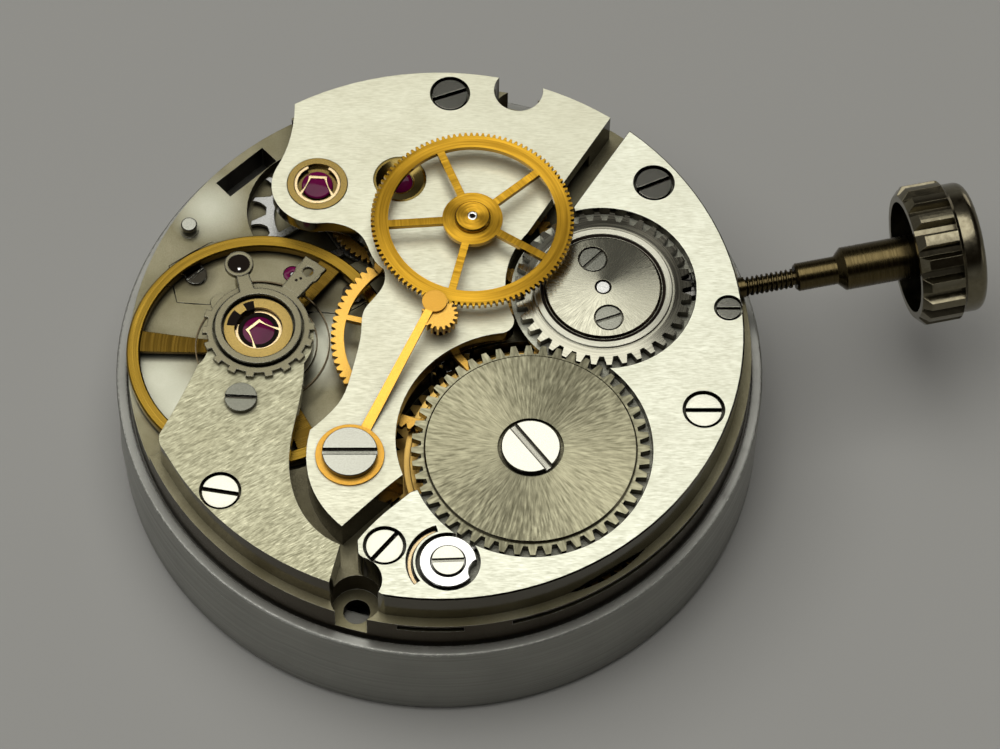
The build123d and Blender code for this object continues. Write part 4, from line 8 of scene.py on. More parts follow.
import json
import logging
import math
from dataclasses import dataclass, replace
from enum import Enum

import bmesh
import bpy
from mathutils import Matrix, Vector

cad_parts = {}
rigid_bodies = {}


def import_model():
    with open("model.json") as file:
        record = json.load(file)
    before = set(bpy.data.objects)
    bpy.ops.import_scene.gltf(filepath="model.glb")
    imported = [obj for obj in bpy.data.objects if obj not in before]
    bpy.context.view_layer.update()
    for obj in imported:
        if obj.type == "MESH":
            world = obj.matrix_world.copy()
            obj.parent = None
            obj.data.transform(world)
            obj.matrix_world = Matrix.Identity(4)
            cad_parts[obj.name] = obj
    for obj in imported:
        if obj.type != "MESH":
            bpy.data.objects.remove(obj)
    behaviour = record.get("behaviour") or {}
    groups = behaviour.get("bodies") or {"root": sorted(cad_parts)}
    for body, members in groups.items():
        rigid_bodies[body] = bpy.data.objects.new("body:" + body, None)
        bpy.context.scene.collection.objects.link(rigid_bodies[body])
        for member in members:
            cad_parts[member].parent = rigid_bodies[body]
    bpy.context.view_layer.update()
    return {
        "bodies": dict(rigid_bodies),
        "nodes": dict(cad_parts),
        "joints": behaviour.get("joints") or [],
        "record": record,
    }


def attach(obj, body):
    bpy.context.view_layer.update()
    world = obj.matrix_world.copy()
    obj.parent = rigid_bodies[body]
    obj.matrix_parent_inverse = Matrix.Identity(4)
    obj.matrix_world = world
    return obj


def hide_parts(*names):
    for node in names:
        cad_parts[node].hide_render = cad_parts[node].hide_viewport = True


Colour = tuple[float, float, float]
Place = tuple[float, float]
Profile = tuple[Place, ...]
Socket = bpy.types.NodeSocket

LOG = logging.getLogger("movement")
MM = 0.001
MERGE_M = 1e-7
SHARP_TURN = math.radians(18.0)

# Plan places of the upright axes.
BARREL: Place = (2.216, -5.783)
CROWN_WHEEL: Place = (6.423, 0.427)
THIRD: Place = (2.109, 3.911)
FOURTH: Place = (-0.1185, 6.7664)
BALANCE: Place = (-6.695, 1.304)

# Colours that metal takes: painted shade in sheltered places, on walls and in a wheel's middle,
# and bare metal and painted highlights along sharp edges.
SHELTER_SHADE: Colour = (0.018, 0.014, 0.008)
SHADED_WALL: Colour = (0.03, 0.018, 0.008)
INNER_SHADE_GILT: Colour = (0.06, 0.034, 0.006)
BARE_METAL_AND_GLINT: Colour = (0.88, 0.88, 0.80)

# How the metal's nodes fade from one look to another.
LEVEL_FACE = 0.98  # upright share of the normal from which a face is level
UNSHADED_OPENNESS = 0.85  # openness from which a place takes no painted shade
SHELTER_SHADE_FADE = 0.3  # least step of openness from full painted shade to none
POOL_CORE = 0.15  # share of a painted reflection's radius that takes its full tone
INNER_SHADE_SHARE = 0.75  # how far the painted shade in the middle of a wheel takes its colour
INNER_SHADE_FADE = 0.08
CONE_FADE = 0.05
LINE_RELIEF = 0.006
PATCHES_PER_MM = 0.55
SPECKLES_PER_MM = 7.0
SPECKLE_LOW = 0.2  # wear and painted highlight between the speckles
SPECKLE_STEP = (0.42, 0.6)
WEAR_GLINT_TURN = (0.8, 0.97)  # rounded normal against true normal, from bare to covered
WALL_SPREAD = (0.8, 1.3)  # how far patches change the roughness of walls


class Grain(Enum):
    """How the grinding lines of a surface run."""

    PLAIN = "no direction"
    STRAIGHT = "parallel lines"
    RINGS = "rings about an upright axis"
    SUNBURST = "rays from an upright axis"
    TURNED = "rings about the stem"
    WALL = "level lines round an upright wall"


class Tone(Enum):
    """A soft patch of painted reflection and shade on the plate: its colour and its greatest
    share.
    """

    BRIGHT = ((0.60, 0.61, 0.50), 0.6)
    DARK = ((0.015, 0.011, 0.007), 0.9)


class Board:
    """Short calls that add and join the nodes of one tree."""

    def __init__(self, tree: bpy.types.NodeTree) -> None:
        """Start with an empty tree."""
        self.tree = tree
        tree.nodes.clear()

    def feed(self, socket: Socket, value: object) -> None:
        """Join an output to an input, or write a plain value into it.

        Args:
            socket: The input.
            value: The output or the plain value.
        """
        if isinstance(value, Socket):
            self.tree.links.new(value, socket)
        else:
            socket.default_value = value

    def add(self, kind: str, *values: object, **settings: object) -> bpy.types.Node:
        """Add a node, set its properties and feed its first inputs.

        Args:
            kind: The node's type name.
            *values: Outputs or plain values for its inputs, in their order.
            **settings: Properties of the node.

        Returns:
            The new node.
        """
        node = self.tree.nodes.new(kind)
        for name, setting in settings.items():
            setattr(node, name, setting)
        for socket, value in zip(node.inputs, values):
            self.feed(socket, value)
        return node

    def join(self, node: bpy.types.Node, values: dict[str, object]) -> Socket:
        """Feed a node's inputs by their names.

        Args:
            node: The node.
            values: The output or plain value for each named input.

        Returns:
            The node's first output, or None where it has none.
        """
        for name, value in values.items():
            self.feed(node.inputs[name], value)
        return node.outputs[0] if node.outputs else None

    def maths(self, operation: str, *values: object) -> Socket:
        """Give the result of a maths node on up to three values."""
        return self.add("ShaderNodeMath", *values, operation=operation).outputs[0]

    def times(self, value: object, factor: object) -> Socket:
        """Multiply two numbers."""
        return self.maths("MULTIPLY", value, factor)

    def vector(self, operation: str, *values: object) -> Socket:
        """Give the result of a vector maths node on up to two vectors."""
        node = self.add("ShaderNodeVectorMath", *values, operation=operation)
        return node.outputs["Value" if operation in ("DOT_PRODUCT", "LENGTH") else "Vector"]

    def scale(self, vector: object, factor: object) -> Socket:
        """Stretch a vector."""
        node = self.add("ShaderNodeVectorMath", vector, operation="SCALE")
        return self.join(node, {"Scale": factor})

    def combine(self, x: object, y: object, z: object) -> Socket:
        """Join three numbers to a vector."""
        return self.add("ShaderNodeCombineXYZ", x, y, z).outputs[0]

    def split(self, vector: object) -> tuple[Socket, Socket, Socket]:
        """Give the three numbers of a vector."""
        return tuple(self.add("ShaderNodeSeparateXYZ", vector).outputs)

    def to_world(self, vector: object) -> Socket:
        """Turn a vector from the piece's axes to the world's."""
        settings = {"vector_type": "VECTOR", "convert_from": "OBJECT", "convert_to": "WORLD"}
        return self.add("ShaderNodeVectorTransform", vector, **settings).outputs[0]

    def about(self, spot: Socket, centre: Place) -> tuple[Socket, Socket]:
        """Measure a place from an upright axis.

        Args:
            spot: The place, in millimetres.
            centre: Plan place of the axis.

        Returns:
            The level vector from the axis to the place, and its length.
        """
        offset = self.vector("SUBTRACT", spot, (*centre, 0.0))
        flat = self.vector("MULTIPLY", offset, (1.0, 1.0, 0.0))
        return flat, self.vector("LENGTH", flat)

    def spread(
        self, value: object, low: float, high: float, start: float = 0.3, end: float = 0.7
    ) -> Socket:
        """Map a value from start..end to low..high, clamped."""
        return self.add("ShaderNodeMapRange", value, start, end, low, high).outputs[0]

    def noise(self, vector: object, scale: float, detail: float = 3.0) -> Socket:
        """Give smooth noise of about 0 to 1 along a vector."""
        settings = {"Vector": vector, "Scale": scale, "Detail": detail}
        return self.join(self.add("ShaderNodeTexNoise"), settings)

    def blend(self, share: object, low: object, high: object) -> Socket:
        """Mix two colours.

        Args:
            share: Share of the second colour.
            low: The first colour, as an output or plain values.
            high: The second colour.

        Returns:
            The mixed colour.
        """
        node = self.add("ShaderNodeMix", share, data_type="RGBA")
        for socket, value in ((node.inputs[6], low), (node.inputs[7], high)):
            self.feed(socket, (*value, 1.0) if isinstance(value, tuple) else value)
        return node.outputs[2]


class Surface(Board):
    """The board of a new material with one shader."""

    def __init__(self, name: str) -> None:
        """Start the material.

        Args:
            name: The material's name.
        """
        self.material = bpy.data.materials.new(name)
        self.material.use_nodes = True
        super().__init__(self.material.node_tree)
        self.shader = self.add("ShaderNodeBsdfPrincipled")
        self.add("ShaderNodeOutputMaterial", self.shader.outputs[0])
        self.place = self.add("ShaderNodeTexCoord").outputs["Object"]

    def give(self, values: dict[str, object]) -> bpy.types.Material:
        """Feed the shader's inputs by their names and give the material."""
        self.join(self.shader, values)
        return self.material


@dataclass(frozen=True)
class MetalFinish:
    """A ground, brushed or polished metal.

    Attributes:
        name: The material's name.
        colour: Its main colour.
        shade: The colour that its lines and stains lean to.
        roughness: Roughness of the ground face.
        grain: How its lines run.
        centre: Plan place of the rings' or rays' axis.
        course: Angle of straight lines in plan, in degrees.
        anisotropy: How far highlights stretch across the lines.
        density: Lines per millimetre.
        depth: Strength of the lines' relief.
        contrast: How far the lines change colour and roughness.
        stain: How far large soft patches change the colour.
        edge: Radius of the rounded look of sharp edges.
        wall_roughness: Roughness of upright walls and bevels.
        shelter_shade: How dark the painted shade in sheltered places gets, from 0 to 1.
        shelter_shade_full: Openness at or below which a place takes all its painted shade.
        reach: How near another surface has to be to shelter a place.
        shaded_inside: Radius about the centre within which the metal takes painted shade, or 0.
        wall_shade: How far painted shade darkens upright walls and bevels, from 0 to 1.
        wear_and_glint: How far bright speckles show along sharp edges, as worn bare metal and
            painted highlights, from 0 to 1.
        cone_from: Radius about the centre beyond which the face leans like a cone, or 0.
        cone: Tangent of the cone's fall.
        pools: Plan place, radius and tone of each soft patch of painted reflection and shade.
    """

    name: str
    colour: Colour
    shade: Colour
    roughness: float
    grain: Grain = Grain.PLAIN
    centre: Place = (0.0, 0.0)
    course: float = 0.0
    anisotropy: float = 0.0
    density: float = 12.0
    depth: float = 0.2
    contrast: float = 0.3
    stain: float = 0.2
    edge: float = 0.025
    wall_roughness: float = 0.14
    shelter_shade: float = 0.85
    shelter_shade_full: float = 0.2
    reach: float = 0.8
    shaded_inside: float = 0.0
    wall_shade: float = 0.0
    wear_and_glint: float = 0.0
    cone_from: float = 0.0
    cone: float = 0.16
    pools: tuple[tuple[float, float, float, Tone], ...] = ()

    def sheltered(self, board: Board, spot: Socket, colour: Socket) -> Socket:
        """Paint shade where surfaces are near, and lay on the painted reflections and the painted
        shade of a wheel's middle.

        Args:
            board: The material's board.
            spot: The position on the piece, in millimetres.
            colour: The colour of an open place.

        Returns:
            The colour that the place shows.
        """
        # Painted shade: the colour darkens where other surfaces are near, in recesses, slots and
        # under parts.
        shelter = board.add("ShaderNodeAmbientOcclusion", samples=4)
        board.join(shelter, {"Distance": self.reach * MM})
        unshaded = max(UNSHADED_OPENNESS, self.shelter_shade_full + SHELTER_SHADE_FADE)
        share = board.spread(shelter.outputs["AO"], self.shelter_shade, 0.0, self.shelter_shade_full, unshaded)
        toned = board.blend(share, colour, SHELTER_SHADE)
        # Painted reflections and shade on the plate, pale and dark.
        for x, y, radius, tone in self.pools:
            shown, most = tone.value
            _, gap = board.about(spot, (x, y))
            fade = board.spread(gap, most, 0.0, radius * POOL_CORE, radius)
            toned = board.blend(fade, toned, shown)
        # Painted shade on the lower middle of a wheel, inside its rim.
        if self.shaded_inside:
            _, gap = board.about(spot, self.centre)
            rim = self.shaded_inside + INNER_SHADE_FADE
            dull = board.spread(gap, INNER_SHADE_SHARE, 0.0, self.shaded_inside, rim)
            toned = board.blend(dull, toned, INNER_SHADE_GILT)
        return toned

    def leaning(self, board: Board, spot: Socket, normal: Socket) -> Socket:
        """Lean the normal outwards where the face falls away like a cone.

        Args:
            board: The material's board.
            spot: The position on the piece, in millimetres.
            normal: The normal before the lean.

        Returns:
            The normal to shade with.
        """
        if not self.cone_from:
            return normal
        flat, radius = board.about(spot, self.centre)
        full = self.cone_from + CONE_FADE
        fall = board.spread(radius, 0.0, self.cone, self.cone_from, full)
        lean = board.to_world(board.scale(board.vector("NORMALIZE", flat), fall))
        return board.vector("NORMALIZE", board.vector("ADD", normal, lean))

    def lines(self, board: Board, spot: Socket) -> tuple[Socket, Socket]:
        """Lay out the grain.

        Args:
            board: The material's board.
            spot: The position on the piece, in millimetres.

        Returns:
            The vector that the lines' noise reads, and the direction across the lines.
        """
        flat, radius = board.about(spot, self.centre)
        ray = board.vector("NORMALIZE", flat)
        ray_x, ray_y, _ = board.split(ray)
        x, y, z = board.split(spot)
        if self.grain is Grain.RINGS:
            return board.combine(board.times(radius, self.density), ray_x, ray_y), ray
        if self.grain is Grain.SUNBURST:
            turns = (board.times(part, 4.0 * self.density) for part in (ray_x, ray_y))
            wave = board.combine(*turns, board.times(radius, 2.2))
            return wave, board.combine(board.times(ray_y, -1.0), ray_x, 0.0)
        if self.grain is Grain.TURNED:
            wave = board.combine(board.times(x, self.density), board.times(y, 0.6), z)
            return wave, board.combine(1.0, 0.0, 0.0)
        if self.grain is Grain.WALL:
            wave = board.combine(board.times(z, self.density), ray_x, ray_y)
            return wave, board.combine(0.0, 0.0, 1.0)
        if self.grain is Grain.STRAIGHT:
            turn = math.radians(self.course)
            along = (math.cos(turn), math.sin(turn), 0.0)
            across = (-math.sin(turn), math.cos(turn), 0.0)
            wave = board.combine(
                board.times(board.vector("DOT_PRODUCT", spot, along), 3.6),
                board.times(board.vector("DOT_PRODUCT", spot, across), self.density),
                board.times(z, self.density),
            )
            return wave, board.combine(*across)
        return board.scale(spot, self.density), board.combine(1.0, 0.0, 0.0)

    def build(self) -> bpy.types.Material:
        """Build the material.

        Returns:
            The new material.
        """
        board = Surface(self.name)
        spot = board.scale(board.place, 1.0 / MM)
        wave, across = self.lines(board, spot)
        ground = board.noise(wave, 1.0)
        patches = board.noise(spot, PATCHES_PER_MM)
        normal = board.add("ShaderNodeNewGeometry").outputs["True Normal"]
        rounded = board.join(
            board.add("ShaderNodeBevel", samples=3), {"Radius": self.edge * MM}
        )
        level = board.maths(
            "GREATER_THAN", board.maths("ABSOLUTE", board.split(normal)[2]), LEVEL_FACE
        )
        standing = board.maths("SUBTRACT", 1.0, level)
        if self.grain in (Grain.TURNED, Grain.WALL, Grain.PLAIN):
            level = 1.0

        lined = board.times(board.spread(ground, 0.0, self.contrast), level)
        tone = board.blend(lined, self.colour, self.shade)
        tone = board.blend(board.spread(patches, 0.0, self.stain), tone, self.shade)
        # Painted shade on upright walls and bevels, standing in for their dark reflections.
        if self.wall_shade:
            tone = board.blend(board.times(standing, self.wall_shade), tone, SHADED_WALL)
        # Painted shade in sheltered places, painted reflections on the plate and painted shade in
        # a wheel's middle.
        tone = self.sheltered(board, spot, tone)
        # Bright speckles along sharp edges: worn bare metal, and painted edge highlights.
        if self.wear_and_glint:
            turned = board.vector("DOT_PRODUCT", rounded, normal)
            speckle = board.noise(spot, SPECKLES_PER_MM, 2.0)
            bare = board.spread(speckle, SPECKLE_LOW, self.wear_and_glint, *SPECKLE_STEP)
            worn_and_glint = board.times(board.spread(turned, 1.0, 0.0, *WEAR_GLINT_TURN), bare)
            tone = board.blend(worn_and_glint, tone, BARE_METAL_AND_GLINT)

        swing = self.contrast * self.roughness
        face = board.spread(ground, self.roughness - swing / 2, self.roughness + swing)
        wall = board.spread(patches, *(self.wall_roughness * share for share in WALL_SPREAD))
        mixed = board.add("ShaderNodeMix", data_type="FLOAT")
        for index, value in ((0, level), (2, wall), (3, face)):
            board.feed(mixed.inputs[index], value)
        relief = board.join(
            board.add("ShaderNodeBump"),
            {
                "Distance": LINE_RELIEF * MM,
                "Strength": board.times(level, self.depth),
                "Height": ground,
                "Normal": self.leaning(board, spot, rounded),
            },
        )
        if self.anisotropy:
            board.give({"Anisotropic": self.anisotropy, "Tangent": board.to_world(across)})
        return board.give(
            {
                "Base Color": tone,
                "Metallic": 1.0,
                "Roughness": mixed.outputs[0],
                "Normal": relief,
            }
        )


@dataclass(frozen=True)
class RubyFinish:
    """Polished synthetic ruby with a faint cloud in its colour.

    Attributes:
        name: The material's name.
        deep: Its darker colour.
        light: Its lighter colour.
        clouds_per_m: Scale of the cloud.
        roughness: Roughness of the polish.
        index: Refractive index.
        clear: Share of light that passes through.
        gloss: Strength of its reflections.
    """

    name: str = "ruby"
    deep: Colour = (0.05, 0.001, 0.018)
    light: Colour = (0.22, 0.005, 0.085)
    clouds_per_m: float = 900.0
    roughness: float = 0.05
    index: float = 1.76
    clear: float = 0.08
    gloss: float = 0.05

    def build(self) -> bpy.types.Material:
        """Build the material.

        Returns:
            The new material.
        """
        board = Surface(self.name)
        cloud = board.noise(board.place, self.clouds_per_m, 2.0)
        return board.give(
            {
                "Base Color": board.blend(cloud, self.deep, self.light),
                "Roughness": self.roughness,
                "IOR": self.index,
                "Transmission Weight": self.clear,
                "Specular IOR Level": self.gloss,
            }
        )


@dataclass(frozen=True)
class MattFinish:
    """A soft surface with no metal in it, such as rubber or the table.

    Attributes:
        name: The material's name.
        colour: Its main colour.
        shade: The colour of its grit.
        roughness: Its roughness.
        grit_per_m: Scale of its grit.
        gloss: Strength of its reflections.
    """

    name: str
    colour: Colour
    shade: Colour
    roughness: float
    grit_per_m: float = 400.0
    gloss: float = 0.5

    def build(self) -> bpy.types.Material:
        """Build the material.

        Returns:
            The new material.
        """
        board = Surface(self.name)
        grit = board.noise(board.place, self.grit_per_m)
        return board.give(
            {
                "Base Color": board.blend(grit, self.colour, self.shade),
                "Roughness": board.spread(grit, self.roughness * 0.9, self.roughness),
                "Specular IOR Level": self.gloss,
            }
        )


Finish = MetalFinish | RubyFinish | MattFinish


@dataclass(frozen=True)
class Palette:
    """The finishes of the movement."""

    holder: Finish = MetalFinish(
        "holder steel", colour=(0.34, 0.34, 0.31), shade=(0.22, 0.22, 0.20), roughness=0.36,
        grain=Grain.WALL, anisotropy=0.4, density=14.0, contrast=0.5, stain=0.4, edge=0.09,
        reach=1.5, wear_and_glint=0.95,
    )
    plate: Finish = MetalFinish(
        "plate plating", colour=(0.27, 0.25, 0.165), shade=(0.13, 0.115, 0.06), roughness=0.36,
        density=24.0, contrast=0.35, stain=0.7, shelter_shade=0.95, reach=1.3, wall_shade=0.9, wear_and_glint=0.6,
        # Painted reflections and shade: pale and dark patches on the plate.
        pools=(
            (-4.1, 1.8, 1.2, Tone.BRIGHT),
            (-4.4, 0.6, 1.4, Tone.BRIGHT),
            (-10.6, 1.1, 1.9, Tone.BRIGHT),
            (-9.9, -0.4, 1.6, Tone.BRIGHT),
            (-7.4, 8.2, 1.7, Tone.BRIGHT),
            (-4.1, 3.5, 1.5, Tone.DARK),
            (-5.0, 2.6, 1.0, Tone.DARK),
            (-8.5, 5.3, 1.0, Tone.DARK),
        ),
    )
    bridge: Finish = MetalFinish(
        "bridge plating", colour=(0.74, 0.735, 0.58), shade=(0.50, 0.48, 0.34), roughness=0.46,
        grain=Grain.STRAIGHT, course=-12.0, anisotropy=0.3, density=26.0, contrast=0.32,
        stain=0.3, wall_shade=0.9, wear_and_glint=0.35,
    )
    barrel_bridge: Finish = replace(
        bridge, name="barrel bridge plating", colour=(0.89, 0.90, 0.75),
        shade=(0.62, 0.61, 0.47), roughness=0.54,
    )
    cock: Finish = replace(
        bridge, name="cock plating", colour=(0.50, 0.485, 0.34), shade=(0.29, 0.275, 0.17),
        roughness=0.40, course=20.0, anisotropy=0.35, density=24.0, contrast=0.65, stain=0.5,
    )
    ratchet: Finish = MetalFinish(
        "ratchet steel", colour=(0.44, 0.42, 0.28), shade=(0.20, 0.185, 0.11), roughness=0.40,
        grain=Grain.SUNBURST, centre=BARREL, anisotropy=0.93, depth=0.3, contrast=0.5,
        wall_shade=0.6,
    )
    crown_wheel: Finish = MetalFinish(
        "crown wheel steel", colour=(0.36, 0.35, 0.28), shade=(0.20, 0.19, 0.14),
        roughness=0.24, grain=Grain.RINGS, centre=CROWN_WHEEL, anisotropy=0.6, density=14.0,
        contrast=0.4, wall_shade=0.7, cone_from=2.7, cone=0.26,
    )
    collar: Finish = MetalFinish(
        "crown collar steel", colour=(0.56, 0.55, 0.45), shade=(0.36, 0.35, 0.28),
        roughness=0.28, grain=Grain.RINGS, centre=CROWN_WHEEL, anisotropy=0.8, density=16.0,
        contrast=0.4,
    )
    core: Finish = MetalFinish(
        "crown core steel", colour=(0.42, 0.41, 0.32), shade=(0.23, 0.22, 0.16),
        roughness=0.22, grain=Grain.SUNBURST, centre=CROWN_WHEEL, anisotropy=0.85,
        density=10.0, contrast=0.45, wall_shade=0.95, cone_from=0.02, cone=0.05,
    )
    gilt: Finish = MetalFinish(
        "gilt brass", colour=(0.84, 0.50, 0.11), shade=(0.52, 0.27, 0.03), roughness=0.30,
        density=30.0, contrast=0.5, wall_shade=0.5,
    )
    driving: Finish = MetalFinish(
        "driving wheel gilt", colour=(0.80, 0.45, 0.04), shade=(0.40, 0.22, 0.015),
        roughness=0.42, grain=Grain.RINGS, centre=THIRD, anisotropy=0.97, density=16.0,
        contrast=0.45, stain=0.4, wall_shade=0.6,
    )
    blade: Finish = MetalFinish(
        "blade gilt", colour=(0.68, 0.37, 0.06), shade=(0.46, 0.23, 0.03), roughness=0.36,
        density=24.0,
    )
    balance: Finish = MetalFinish(
        "balance gilt", colour=(0.30, 0.185, 0.025), shade=(0.13, 0.075, 0.007),
        roughness=0.27, grain=Grain.RINGS, centre=BALANCE, anisotropy=0.95, density=14.0,
        contrast=0.4, shaded_inside=4.5,
    )
    brass: Finish = MetalFinish(
        "barrel brass", colour=(0.62, 0.40, 0.11), shade=(0.40, 0.23, 0.05), roughness=0.32,
        grain=Grain.RINGS, centre=BARREL, density=10.0,
    )
    setting: Finish = MetalFinish(
        "setting brass", colour=(0.31, 0.22, 0.07), shade=(0.16, 0.105, 0.025), roughness=0.2,
        density=30.0, depth=0.1, wall_shade=0.5,
    )
    lyre: Finish = MetalFinish(
        "lyre gilt", colour=(0.80, 0.62, 0.36), shade=(0.60, 0.42, 0.20), roughness=0.2,
        density=20.0,
    )
    chaton: Finish = MetalFinish(
        "chaton brass", colour=(0.26, 0.19, 0.055), shade=(0.14, 0.10, 0.025), roughness=0.2,
        grain=Grain.RINGS, centre=FOURTH, anisotropy=0.6, density=14.0, contrast=0.4,
        wall_shade=0.3,
    )
    satin_screw: Finish = MetalFinish(
        "satin screw steel", colour=(0.33, 0.33, 0.28), shade=(0.24, 0.24, 0.20),
        roughness=0.18, density=20.0, depth=0.05, shelter_shade=0.95, shelter_shade_full=0.62, reach=0.35,
        wall_shade=0.7,
    )
    screw: Finish = replace(
        satin_screw, name="screw steel", colour=(0.42, 0.415, 0.35), shade=(0.32, 0.315, 0.26),
        roughness=0.07, depth=0.04, edge=0.03, wall_roughness=0.1,
    )
    dull_screw: Finish = replace(
        satin_screw, name="dull screw steel", colour=(0.24, 0.24, 0.20),
        shade=(0.17, 0.17, 0.135), roughness=0.09, wall_shade=0.5,
    )
    clamp_screw: Finish = replace(
        satin_screw, name="clamp screw steel", colour=(0.125, 0.125, 0.10),
        shade=(0.09, 0.09, 0.07), roughness=0.16, wall_shade=0.3, wear_and_glint=0.4,
    )
    # Painted shade: near-black screw heads stand in for the dark hollow round the pallet bridge's
    # screws.
    shaded_screw: Finish = MetalFinish(
        "shaded screw steel", colour=(0.022, 0.02, 0.015), shade=(0.012, 0.01, 0.007),
        roughness=0.12, density=20.0, depth=0.04, edge=0.06, wear_and_glint=0.9,
    )
    polished: Finish = MetalFinish(
        "polished steel", colour=(0.66, 0.66, 0.62), shade=(0.52, 0.52, 0.48), roughness=0.12,
        density=8.0, depth=0.05,
    )
    keyless: Finish = MetalFinish(
        "keyless steel", colour=(0.42, 0.42, 0.40), shade=(0.28, 0.28, 0.26), roughness=0.28,
        density=14.0,
    )
    regulator: Finish = MetalFinish(
        "regulator steel", colour=(0.17, 0.155, 0.10), shade=(0.11, 0.10, 0.06),
        roughness=0.24, density=40.0, depth=0.06, contrast=0.25, edge=0.05, wear_and_glint=0.35,
    )
    spring: Finish = MetalFinish(
        "spring steel", colour=(0.11, 0.085, 0.05), shade=(0.06, 0.045, 0.025), roughness=0.2,
        density=10.0,
    )
    stem: Finish = MetalFinish(
        "stem steel", colour=(0.105, 0.08, 0.035), shade=(0.05, 0.037, 0.015), roughness=0.22,
        grain=Grain.TURNED, anisotropy=0.5, density=14.0, contrast=0.5,
    )
    crown: Finish = MetalFinish(
        "crown steel", colour=(0.21, 0.19, 0.13), shade=(0.12, 0.10, 0.06), roughness=0.17,
        density=5.0, contrast=0.4,
    )
    ruby: Finish = RubyFinish()
    # Painted shade: dark pieces laid into gaps, hollows, notches and dents.
    painted_shade: Finish = MattFinish(
        "black hollow", colour=(0.006, 0.004, 0.003), shade=(0.015, 0.010, 0.007),
        roughness=0.6, gloss=0.04,
    )
    rubber: Finish = MattFinish(
        "gasket rubber", colour=(0.02, 0.02, 0.02), shade=(0.04, 0.04, 0.04), roughness=0.6
    )
    table: Finish = MattFinish(
        "table", colour=(0.295, 0.292, 0.275), shade=(0.32, 0.317, 0.30), roughness=0.7,
        grit_per_m=60.0,
    )


LOOK = Palette()


